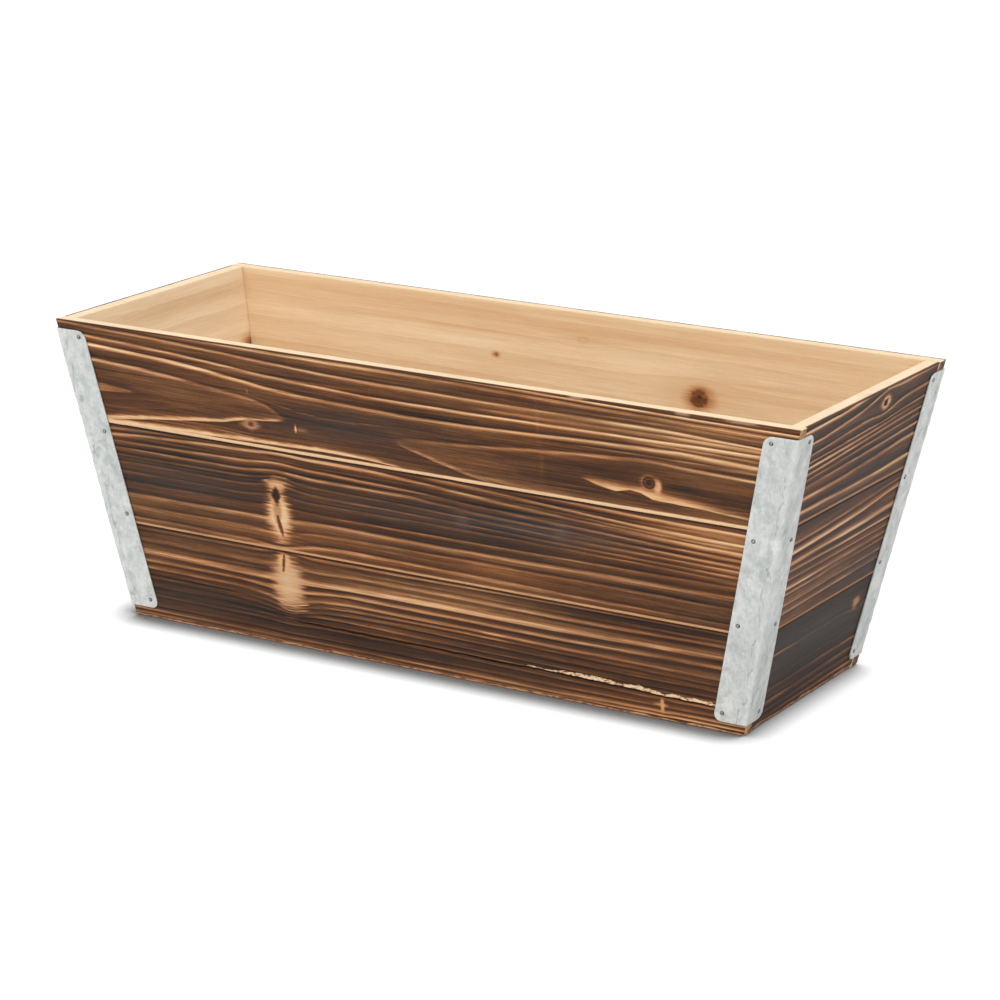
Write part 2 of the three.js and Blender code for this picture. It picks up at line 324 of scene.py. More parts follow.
@dataclass(frozen=True)
class FaceGrain:
    """The grain, knots and charring of one face of a board.

    Rising says that the rings are numbered upward, so that each one is crisp along its foot. Extras
    are bright threads that bound no ring.
    """

    lines: tuple[GrainLine, ...]
    extras: tuple[GrainLine, ...] = ()
    rising: bool = False
    dulled: float = 0.0
    # Painted shade: how far below its top a board is darkened under the joint.
    joint_shade: float = 0.8
    char: float = 0.7
    line_strength: float = 0.4
    scorches: tuple[Scorch, ...] = ()
    streaks: tuple[PaleStreak, ...] = ()
    knots: tuple[Knot, ...] = ()
    splits: tuple[Split, ...] = ()
    bare_foot: float = 0.0
    bare_foot_char: float = 0.16
    worn_rim: tuple[Point, ...] = ()
    rim_reach: float = 1.0
    rounding: float = 1.0
    blotch: float = 0.16
    seed: float = 1.0

    def ring_numbers(self, along: Array, height: Array) -> Array:
        """Reads the ring number between the drawn lines, rounded where they turn.

        Args:
            along: places along the grain.
            height: heights.

        Returns:
            Ring numbers, whole on the growth lines.
        """
        height = self.flowed(along, height)
        total = np.zeros_like(along)
        for tap, weight in ((-2, 1), (-1, 4), (0, 6), (1, 4), (2, 1)):
            total += self.between_lines(along, height + tap * self.rounding) * weight / 16
        return total

    def flowed(self, along: Array, height: Array) -> Array:
        """Moves each point back to where its grain would run straight, without knots or waves.

        Args:
            along: places along the grain.
            height: heights.

        Returns:
            The heights there.
        """
        height = self.pushed(along, height)
        wave = (value_noise(along / 95, height / 16, self.seed + 5) - 0.5) * 0.7
        wave += (value_noise(along / 32, height / 6, self.seed + 6) - 0.5) * 0.24
        return height + wave

    def between_lines(self, along: Array, height: Array) -> Array:
        """Interpolates the ring number between neighbouring lines.

        Args:
            along: places along the grain.
            height: heights.

        Returns:
            Ring numbers.
        """
        ordered = sorted(self.lines, key=lambda line: line.points[0][1])
        rings = np.zeros_like(along)
        low_z = curve_through(ordered[0].points, along)
        low_r = ordered[0].rings_at(along)
        rings[:] = low_r
        for line in ordered[1:]:
            high_z = np.maximum(curve_through(line.points, along), low_z + 0.3)
            high_r = line.rings_at(along)
            t = (height - low_z) / (high_z - low_z)
            rings = np.where(t > 0, low_r + (high_r - low_r) * np.minimum(t, 1), rings)
            low_z, low_r = high_z, high_r
        return rings

    def pushed(self, along: Array, height: Array) -> Array:
        """Moves each point back to where its grain would run without the knots.

        Args:
            along: places along the grain.
            height: heights.

        Returns:
            The heights there.
        """
        for knot in self.knots:
            if not knot.push:
                continue
            dx, dz = along - knot.at[0], height - knot.at[1]
            near = np.exp(-(dx / knot.push[0]) ** 2 - (dz / knot.push[1]) ** 2)
            height = height - dz * near * knot.push_strength
        return height

    def charring(self, along: Array, height: Array) -> Array:
        """How far the flame took each point, from 0 for raw wood to 1 for char."""
        cloud = layered_noise(along / 55, height / 7, self.seed + 11, 3)
        return self.char + (cloud - 0.5) * self.blotch * 2


@dataclass
class Surface:
    """What the finish needs to know at each point of a board."""

    ring: Array
    char: Array
    line: Array
    tint: Array
    sink: Array

    def finish_values(self) -> dict[str, Array]:
        """The values that the finish reads."""
        return {"ring": self.ring, "char": self.char, "line": self.line, "tint": self.tint}


@dataclass
class PaintedFace(Surface):
    """One face of a board, read at the points that lie on it."""

    face: FaceGrain
    along: Array
    height: Array

    @classmethod
    def read(cls, face: FaceGrain, along: Array, height: Array) -> PaintedFace:
        """Works out rings, charring, knots and hollows at each point of a face.

        Args:
            face: the face's grain.
            along: places along the grain.
            height: heights.

        Returns:
            The surface there.
        """
        ring = face.ring_numbers(along, height)
        fade = layered_noise(along / 80, ring * 1.7, face.seed + 51, 2)
        line = face.line_strength * (0.45 + 1.1 * fade)
        char, tint, sink = face.charring(along, height), np.zeros_like(along), np.zeros_like(along)
        for scorch in face.scorches:
            cover = scorch.cover(along, height)
            char += scorch.change * cover
            line *= 1 - scorch.calm * cover
            tint -= scorch.ash * cover
        part = ring - np.floor(ring)
        sink += 0.11 * smooth_step(0.04, 0.5, part) * smooth_step(1.0, 0.97, part)
        sink += 0.1 * layered_noise(along / 60, height / 9, face.seed + 52, 2)
        sink += 0.06 * value_noise(along / 16, height / 0.9, face.seed + 53)
        painted = cls(ring, char, line, tint, sink, face, along, height)
        painted.paint_pale_edges()
        painted.paint_streaks()
        painted.paint_knots()
        painted.cut_splits()
        return painted

    def paint_pale_edges(self) -> None:
        """Paints the bright edge of each growth line: crisp on one side, fading on the other."""
        flowed = self.face.flowed(self.along, self.height)
        side = 1 if self.face.rising else -1
        for number, line in enumerate((*self.face.lines, *self.face.extras)):
            if not line.pale:
                continue
            mottle = layered_noise(self.along / 18, self.height / 0.9, self.face.seed + 25 + number, 3) - 0.5
            level = curve_through(line.pale, self.along) + mottle * 0.3 + self.face.dulled
            away = (flowed - curve_through(line.points, self.along)) * side / line.wide
            edge = smooth_step(-0.42, -0.2, away) * smooth_step(1.1, -0.1, away)
            shade = smooth_step(-1.5, -0.6, away) * smooth_step(-0.3, -0.5, away)
            self.char += np.minimum(level - self.char, 0) * edge + 0.08 * shade
            self.line *= 1 - 0.5 * edge
            self.sink += 0.05 * shade - 0.05 * edge * (level < 0.5)

    def paint_streaks(self) -> None:
        """Paints the pale streaks."""
        for streak in self.face.streaks:
            low = curve_through(streak.lower, self.along)
            high = curve_through(streak.upper, self.along)
            ragged = (layered_noise(self.along / 6, self.height / 1.2, self.face.seed + 21) - 0.5) * 1.4
            over = self.height - low + ragged * 0.25
            inside = smooth_step(-streak.lower_fade / 2, streak.lower_fade / 2, over)
            inside *= smooth_step(streak.upper_fade / 2, -streak.upper_fade, self.height - high + ragged)
            start = max(streak.lower[0][0], streak.upper[0][0])
            stop = min(streak.lower[-1][0], streak.upper[-1][0])
            inside *= smooth_step(start - 2, start + 5, self.along)
            inside *= smooth_step(stop + 2, stop - 6, self.along)
            mottle = layered_noise(self.along / 14, self.height / 1.1, self.face.seed + 22, 3) - 0.5
            self.char += (streak.char + mottle * 0.2 - self.char) * inside
            self.line *= 1 - 0.7 * inside

    def paint_knots(self) -> None:
        """Paints the knots."""
        for knot in self.face.knots:
            dx, dz = self.along - knot.at[0], self.height - knot.at[1]
            ragged = layered_noise(self.along / 11, self.height / 0.75, self.face.seed + 31) - 0.5
            reach = np.abs(dx / knot.halo[0]) ** knot.square + np.abs(dz / knot.halo[1]) ** knot.square
            reach = reach ** (1 / knot.square)
            halo = smooth_step(1.28, 0.5, reach + ragged * knot.feather * smooth_step(0.2, 0.9, reach))
            self.char += (knot.halo_char + 0.1 * reach.clip(0, 1) - self.char) * halo
            self.line *= 1 - 0.8 * halo
            self.tint *= 1 - halo
            self.sink += 0.1 * halo
            if knot.core:
                core = np.hypot(dx / knot.core[0], dz / knot.core[1])
                heart = smooth_step(1.1, 0.85, core)
                self.char += (knot.core_char - self.char) * heart
                self.line *= 1 - heart
                self.tint = np.where(heart > 0, heart * knot.core_colour, self.tint)
                ripple = 0.5 + 0.5 * np.cos(core * knot.rings * 2 * math.pi)
                self.char -= knot.ring_depth * heart * ripple * smooth_step(0.1, 0.3, core)
                self.sink += 0.25 * heart * (1 - core.clip(0, 1))
            self.tint -= knot.greyed * halo
            if knot.slit:
                tip_low, tip_high = knot.slit[0][1], knot.slit[-1][1]
                middle = np.interp(self.height, [p[1] for p in knot.slit], [p[0] for p in knot.slit])
                taper = np.clip((self.height - tip_low) * (tip_high - self.height), 0, None)
                taper = np.sqrt(taper) / (tip_high - tip_low) * 2
                open_ = smooth_step(1.0, 0.4, np.abs(self.along - middle) / (knot.slit_width * taper + 1e-3))
                open_ = open_ * (taper > 0)
                self.char += (knot.slit_char - self.char) * open_
                self.sink += 0.3 * open_

    def cut_splits(self) -> None:
        """Cuts the splits and tears the wood above them."""
        for split in self.face.splits:
            wander = (layered_noise(self.along / 7, self.along * 0, self.face.seed + 41) - 0.5) * 0.9
            middle = curve_through(split.path, self.along) + wander
            begin, end = split.path[0][0], split.path[-1][0]
            run = smooth_step(begin, begin + 40, self.along) * smooth_step(end, end - 6, self.along)
            width = split.width * (0.35 + 0.65 * run) * (run > 0.001)
            gap = smooth_step(1.0, 0.35, np.abs(self.height - middle) / (width + 1e-3)) * run
            if split.torn:
                tall = curve_through(split.torn, self.along)
                uneven = layered_noise(self.along / 5, self.along * 0 + 3, self.face.seed + 43)
                tall = tall * (0.72 + 0.56 * uneven)
                edge = (layered_noise(self.along / 1.8, self.height / 0.8, self.face.seed + 44) - 0.5) * 1.3
                over = self.height - middle - split.width * 0.6
                torn = smooth_step(-0.1, 0.5, over) * smooth_step(0.25, -0.35, over - tall + edge)
                torn *= tall > 0.15
                grit = layered_noise(self.along / 1.3, self.height / 0.5, self.face.seed + 45, 3)
                raw = 0.07 + 0.62 * smooth_step(0.5, 0.8, grit)
                self.tint -= 0.16 * torn
                self.char += (raw - self.char) * torn
                self.line *= 1 - torn
                self.sink += torn * (split.torn_depth * (0.35 + 1.1 * grit))
            self.char += (1.0 - self.char) * gap
            self.line *= 1 - gap
            self.sink += split.depth * gap


def wild_lines(seed: int, low: float, high: float, reach: float, spacing: float) -> tuple[GrainLine, ...]:
    """Draws wandering growth lines for a face that no picture shows.

    Args:
        seed: picks one board.
        low: the face's lowest height.
        high: its highest height.
        reach: half its length.
        spacing: usual distance between lines.

    Returns:
        The lines, from the top down.
    """
    dice = np.random.default_rng(seed)
    places = np.linspace(-reach, reach, 9)
    tilt, bow = dice.uniform(-4, 4), dice.uniform(-5, 5)
    shape = tilt * places / reach + bow * (1 - (places / reach) ** 2)
    lines, height, ring = [], high + 8, 0
    while height > low - 10:
        wobble = dice.normal(0, 0.55, len(places))
        points = tuple((float(x), float(height + s + w)) for x, s, w in zip(places, shape, wobble))
        lines.append(GrainLine(ring, points))
        height -= spacing * dice.uniform(0.55, 1.5)
        ring += 1
    return tuple(lines)


def wild_face(seed: int, low: float, high: float, reach: float, **more: object) -> FaceGrain:
    """Makes a charred face that no picture shows, with up to two knots.

    Args:
        seed: picks one board.
        low: the face's lowest height.
        high: its highest height.
        reach: half its length.
        **more: other values of the face's grain.

    Returns:
        The face.
    """
    dice = np.random.default_rng(seed + 900)
    knots = []
    for _ in range(int(dice.integers(0, 3))):
        at = (float(dice.uniform(-0.8, 0.8) * reach), float(dice.uniform(low + 12, high - 12)))
        size = float(dice.uniform(1.6, 3.8))
        knots.append(Knot(
            at, (size * 1.8, size * 1.3), core=(size, size * 0.9), core_colour=1, rings=1.5, ring_depth=0.2,
            push=(size * 5, size * 2.4), halo_char=float(dice.uniform(0.3, 0.55)), feather=0.8))
    scorches = []
    for _ in range(6):
        at = (float(dice.uniform(-1, 1) * reach), float(dice.uniform(low, high)))
        reach_of = (float(dice.uniform(30, 80)), float(dice.uniform(5, 14)))
        scorches.append(Scorch(at, reach_of, float(dice.choice([-0.14, 0.1, 0.16]))))
    settings = {"scorches": tuple(scorches), "knots": tuple(knots), **more}
    return FaceGrain(lines=wild_lines(seed, low, high, reach, 6.5), seed=float(seed), **settings)


def inside_face(seed: int, low: float, high: float, reach: float, **more: object) -> FaceGrain:
    """Makes a raw pine face for the inside of a wall or for the base.

    Args:
        seed: picks one board.
        low: the face's lowest height.
        high: its highest height.
        reach: half its length.
        **more: other values of the face's grain.

    Returns:
        The face.
    """
    dice = np.random.default_rng(seed + 500)
    bands = tuple(Scorch((float(dice.uniform(-reach, reach)), float(dice.uniform(low, high))),
                         (float(dice.uniform(0.5, 1.4) * reach), float(dice.uniform(1, 6))),
                         float(dice.uniform(-0.04, 0.05))) for _ in range(12))
    settings = {"char": 0.12, "line_strength": -0.03, "blotch": 0.03, "rounding": 2.0, "scorches": bands}
    return FaceGrain(lines=wild_lines(seed, low, high, reach, 13), seed=float(seed), **{**settings, **more})


# ---------------------------------------------------------------- what the picture shows

TOP_FRONT = FaceGrain(
    lines=(
        GrainLine(0, ((-250, 195), (250, 192))),
        GrainLine(1, ((-250, 191), (-140, 190), (0, 188), (190, 184.5), (250, 184)), ((-60, 0.62),
            (40, 0.28), (190, 0.28)), 1.8),
        GrainLine(2, ((-250, 188.6), (-140, 186.6), (40, 184.7), (190, 181.7), (250, 181)), ((-200, 0.6),
            (-140, 0.44), (-60, 0.3), (110, 0.48), (190, 0.42))),
        GrainLine(3, ((-250, 186), (-190, 184.5), (-60, 178.1), (-28, 177.2), (40, 176.3), (165, 175.8),
            (224, 173.4), (250, 172.8)), ((-190, 0.44), (40, 0.3), (110, 0.38), (190, 0.22)), 1.8),
        GrainLine(4, ((-250, 180.4), (-190, 177.8), (-140, 174.8), (-99, 171.6), (-29, 168), (40, 167.8),
            (190, 169), (250, 169)), ((-190, 0.36), (-60, 0.3), (40, 0.2), (110, 0.26), (190, 0.19))),
        GrainLine(5, ((-250, 175.4), (-170, 171.6), (-140, 169), (-99, 163.8), (-76, 162), (-30, 160),
            (0, 159.4), (40, 159.6), (150, 163.6), (177, 164), (250, 161.4)), ((-190, 0.19), (-140, 0.2),
            (-60, 0.37), (40, 0.28), (110, 0.33), (190, 0.21)), 2.5),
        GrainLine(6, ((-250, 166.4, 6), (-190, 163.8, 6), (-170, 162, 6), (-112, 155.6, 6),
            (-100, 152.8, 6), (-92.6, 149.4, 6), (-88, 146.2, 6), (-50, 144.6, 5.6), (-12, 143.9, 6),
            (0, 146, 6), (40, 148.2, 6), (110, 153.9, 6), (150, 155.8, 6), (190, 155.2, 6),
            (250, 153.4, 6)), ((-250, 0.28), (-190, 0.32), (-94, 0.5), (-84, 0.8), (-14, 0.8), (10, 0.56),
            (150, 0.46), (190, 0.34)), 2.2),
        GrainLine(7, ((-250, 149, 7.3), (-200, 148, 7.05), (-120, 147.6, 6.45), (-88, 145.2, 6.02),
            (-50, 143.8, 5.6), (40, 143, 6.5), (100, 146, 6.8), (157, 147.4, 6.9), (250, 146, 6.9))),
        GrainLine(6, ((-250, 126, 6), (-218, 128.6, 6), (-170, 134.6, 6), (-130, 138.9, 6),
            (-118, 141.4, 6), (-106, 143, 6), (-88, 144.4, 6), (-50, 143, 5.6), (-12, 142.6, 6),
            (0, 140, 6), (20, 134.6, 6), (40, 130, 6), (70, 127, 6), (120, 125, 6), (250, 122, 6))),
        GrainLine(5, ((-250, 121, 5), (-218, 124.4, 5), (-170, 127.6, 5), (-130, 129, 5), (-56, 129.6, 5),
            (20, 126, 5), (60, 123, 5), (250, 118, 5))),
        GrainLine(4, ((-250, 115), (-130, 124), (0, 121), (250, 113))),
    ),
    extras=(
        GrainLine(0, ((30, 171.4), (190, 172.3), (250, 171)), ((30, 0.66), (60, 0.46), (110, 0.48),
            (190, 0.28))),
        GrainLine(0, ((-112, 159), (-92, 154.4), (-76, 151.4), (-58, 150.2), (-40, 150.4), (-5, 152)),
            ((-110, 0.7), (-70, 0.6), (-30, 0.62), (-5, 0.7)), 1.0),
        GrainLine(0, ((-200, 131.4), (-130, 132.6), (-100, 131.8)), ((-205, 0.7), (-180, 0.5), (-120, 0.5),
            (-100, 0.7)), 1.2),
        GrainLine(0, ((-170, 134), (-130, 134.6)), ((-180, 0.7), (-160, 0.54), (-120, 0.56), (-110, 0.7)),
            1.2),
        GrainLine(0, ((120, 166.6), (190, 166.2), (250, 165)), ((120, 0.7), (160, 0.5), (190, 0.42)), 1.3),
        GrainLine(0, ((100, 158.6), (190, 159.4), (250, 158)), ((100, 0.7), (150, 0.54), (190, 0.47)), 1.3),
        GrainLine(0, ((60, 179.8), (190, 178.4), (250, 177)), ((60, 0.7), (190, 0.44)), 1.3),
    ),
    char=0.725, line_strength=0.28, blotch=0.12, rounding=0.7, dulled=0.01, seed=3.0, bare_foot=2.5,
    bare_foot_char=0.15, worn_rim=((113, 6), (178, 5), (217, 13)),
    scorches=(
        Scorch((165, 174), (70, 9), -0.08), Scorch((10, 179), (70, 5), -0.06),
        Scorch((-150, 172), (70, 12), -0.05), Scorch((86.4, 172), (0.9, 18), -0.07),
        Scorch((88, 145), (1.1, 12), -0.07), Scorch((-45, 147), (52, 11), 0.1, 0.08, 0.5),
        Scorch((30, 143), (44, 7), -0.06, 0, 0.6), Scorch((125, 147.6), (36, 4), 0.12),
        Scorch((177, 143), (13, 2), 0.2), Scorch((95, 135), (44, 6), 0.04),
        Scorch((-150, 150), (60, 9), -0.02, 0, 0.85), Scorch((-222, 147.5), (12, 3), -0.2),
        Scorch((-114, 153.6), (24, 4.4), -0.11, 0, 0.5), Scorch((-75, 141), (4, 1.6), -0.24),
        Scorch((208, 171), (46, 18), -0.17), Scorch((-20, 174), (70, 3), -0.06),
        Scorch((66, 172), (80, 3.6), -0.1), Scorch((205, 147), (34, 4), -0.1),
        Scorch((-190, 160), (40, 4), -0.05), Scorch((-236, 185.5), (26, 3), 0.1, 0, 0.8),
    ),
    streaks=(
        PaleStreak(((-250, 124.5), (-218, 127.6), (-170, 133.6), (-130, 138.1), (-118, 140.8),
            (-106, 142.4), (-88, 144)), ((-250, 128), (-218, 130.4), (-170, 136.2), (-130, 140.6),
            (-118, 143.4), (-88, 145.6)), 0.21, 1.8),
        PaleStreak(((-250, 126.4), (-160, 127.4), (-60, 129.3), (-30, 129), (-4, 127.4)), ((-250, 128.2),
            (-60, 132.2), (-30, 131.4), (-4, 128)), 0.2, 1.8),
        PaleStreak(((-8, 141.6), (20, 134), (40, 129.4), (58, 127.4)), ((-8, 143), (20, 136), (40, 131.4),
            (58, 128)), 0.36, 1.6),
        PaleStreak(((112, 140.6), (122.7, 137.4), (135, 135.2), (144, 137.4), (151, 136.6), (158, 133.7),
            (188, 132.8), (216, 131), (238, 129)), ((112, 141.2), (144, 140), (151, 140.4), (188, 136.6),
            (238, 129.6)), 0.2, 4.2),
    ),
    knots=(
        Knot((-111, 139.2), (8.6, 4.2), push=(12, 5), push_strength=0.75, halo_char=0.36, feather=0.4,
            square=1.15, greyed=0.14),
        Knot((-111, 139.5), (2.2, 1.9), core=(1.1, 1.0), core_char=0.66, halo_char=0.56, feather=0.2),
        Knot((-79, 141), (0.9, 2.7), push=(7, 4), push_strength=0.4, halo_char=0.2),
        Knot((-112, 159.8), (0.8, 2.8), push=(7, 4), push_strength=0.1, halo_char=0.5),
        Knot((161.4, 142), (3.2, 5.0), halo_char=0.22, feather=0.4),
        Knot((156.2, 143.4), (5.4, 5.1), core=(3.9, 3.7), core_char=0.97, core_colour=0.2, rings=1.6,
            ring_depth=0.3, push=(15, 8), push_strength=0.9, halo_char=0.34, feather=0.3),
    ),
)

MIDDLE_FRONT = FaceGrain(
    lines=(
        GrainLine(0, ((-250, 129), (250, 130))),
        GrainLine(1, ((-250, 120.5), (-215, 122.4), (-150, 124.4), (-60, 125.2), (0, 125), (110, 118.3),
            (150, 116.6), (212, 115.3), (250, 115)), ((-200, 0.46), (-150, 0.56), (110, 0.4), (160, 0.24),
            (212, 0.18))),
        GrainLine(2, ((-250, 116.5), (-190, 120), (-140, 122), (-60, 122.6), (-30, 122.2), (0, 120.5),
            (60, 116), (110, 113.5), (190, 110.6), (250, 109.6)), ((-250, 0.26), (-190, 0.32), (-60, 0.21),
            (110, 0.46), (190, 0.22)), 2.3),
        GrainLine(3, ((-250, 113.4), (-140, 115.5), (-60, 115.7), (0, 113.6), (40, 111.4), (150, 107.5),
            (250, 105)), ((-190, 0.5), (-140, 0.37), (-60, 0.36), (40, 0.54), (190, 0.37))),
        GrainLine(4, ((-250, 109.8), (-60, 110.3), (0, 110), (40, 107), (190, 102.4), (250, 101.6)),
            ((-210, 0.5), (-175, 0.42), (-140, 0.45), (-60, 0.34), (40, 0.56), (190, 0.38))),
        GrainLine(5, ((-250, 105.4), (-100, 105.6), (0, 104.4), (100, 101), (250, 98.4)), ((-250, 0.7),
            (-60, 0.54), (0, 0.58), (100, 0.54), (190, 0.37)), 1.4),
        GrainLine(6, ((-250, 101), (-100, 100.6), (0, 99.6), (250, 94.6)), ((-250, 0.66), (-60, 0.56),
            (0, 0.6), (100, 0.56), (190, 0.43)), 1.4),
        GrainLine(7, ((-250, 95), (-100, 94.6), (0, 95.4), (100, 95), (250, 91.4)), ((-250, 0.7),
            (190, 0.5)), 1.4),
        GrainLine(8, ((-250, 88.4), (-50, 88.2), (250, 89)), ((-130, 0.7), (-50, 0.55), (30, 0.49),
            (90, 0.47), (170, 0.52)), 1.6),
        GrainLine(9, ((-250, 80.2), (-130, 80.9), (-50, 82.6), (30, 82), (250, 83.4)), ((-250, 0.5),
            (-170, 0.46), (-130, 0.37), (30, 0.4), (130, 0.36), (170, 0.48)), 3.0),
        GrainLine(10, ((-250, 73.6), (-130, 73.4), (-50, 76.2), (30, 76.6), (250, 76.2)), ((-250, 0.56),
            (-50, 0.48), (170, 0.57)), 1.8),
        GrainLine(11, ((-250, 66.6), (-130, 65.2), (-50, 68.6), (30, 68), (90, 66.8), (250, 65.6)),
            ((-170, 0.49), (-50, 0.38), (90, 0.44), (170, 0.57)), 2.2),
        GrainLine(12, ((-250, 58), (250, 58))),
    ),
    extras=(
        GrainLine(0, ((60, 124.6), (150, 122.2), (250, 120.8)), ((60, 0.66), (110, 0.42), (190, 0.2)), 2.2),
        GrainLine(0, ((60, 117.8), (150, 114), (190, 113), (250, 112.4)), ((60, 0.66), (190, 0.3)), 1.5),
        GrainLine(0, ((140, 119.6), (250, 118.2)), ((140, 0.66), (165, 0.46), (190, 0.42)), 1.3),
        GrainLine(0, ((-108, 102.8), (-80, 103.2)), ((-109, 0.8), (-104, 0.26), (-97, 0.5), (-90, 0.22),
            (-82, 0.8)), 1.8),
        GrainLine(0, ((-104, 106.2), (-84, 106.4)), ((-104, 0.8), (-98, 0.36), (-90, 0.34), (-84, 0.8)),
            1.2),
        GrainLine(0, ((-95, 109.8), (-70, 111)), ((-96, 0.7), (-88, 0.3), (-80, 0.3), (-72, 0.7)), 1.8),
    ),
    char=0.765, line_strength=0.2, blotch=0.12, rounding=0.7, dulled=0.05, seed=7.0, bare_foot=2.0,
    bare_foot_char=0.29,
    scorches=(
        Scorch((-150, 74), (110, 9), -0.1), Scorch((60, 71), (160, 8), -0.04),
        Scorch((98, 105), (5, 7), -0.05, 0.08), Scorch((33, 101), (4, 5), -0.03, 0.14),
        Scorch((-165, 97), (60, 12), 0.07, 0.09, 0.8), Scorch((80, 104), (60, 7), 0.09, 0.14, 0.75),
        Scorch((-10, 98), (70, 7), 0.06, 0.09, 0.6), Scorch((0, 91), (240, 3), 0.05),
        Scorch((-150, 71), (80, 8), -0.08), Scorch((-10, 72), (90, 9), -0.11),
        Scorch((196, 116), (46, 8), -0.3), Scorch((215, 100), (40, 14), -0.1),
        Scorch((-40, 80), (60, 3), -0.06), Scorch((-225, 118), (22, 6), -0.14),
        Scorch((70, 113), (30, 5), 0.08), Scorch((-95, 113), (60, 4), -0.03),
    ),
    knots=(
        Knot((-95.8, 84.4), (9.6, 19), push=(16, 26), push_strength=0.25, halo_char=0.14, feather=0.8,
            square=1.7, greyed=0.04),
        Knot((-97, 87.4), (3.4, 9), core=(2.2, 7), core_char=0.32, core_colour=0.3, halo_char=0.26,
            feather=0.3, slit=((-94.2, 70.6), (-95.6, 76), (-97.4, 84)), slit_width=1.9, slit_char=0.68),
        Knot((-96.4, 102.8), (8.4, 4), halo_char=0.26, feather=1.0),
        Knot((-97, 96.4), (3.3, 6), halo_char=0.9, feather=0.5, square=1.15),
    ),
)

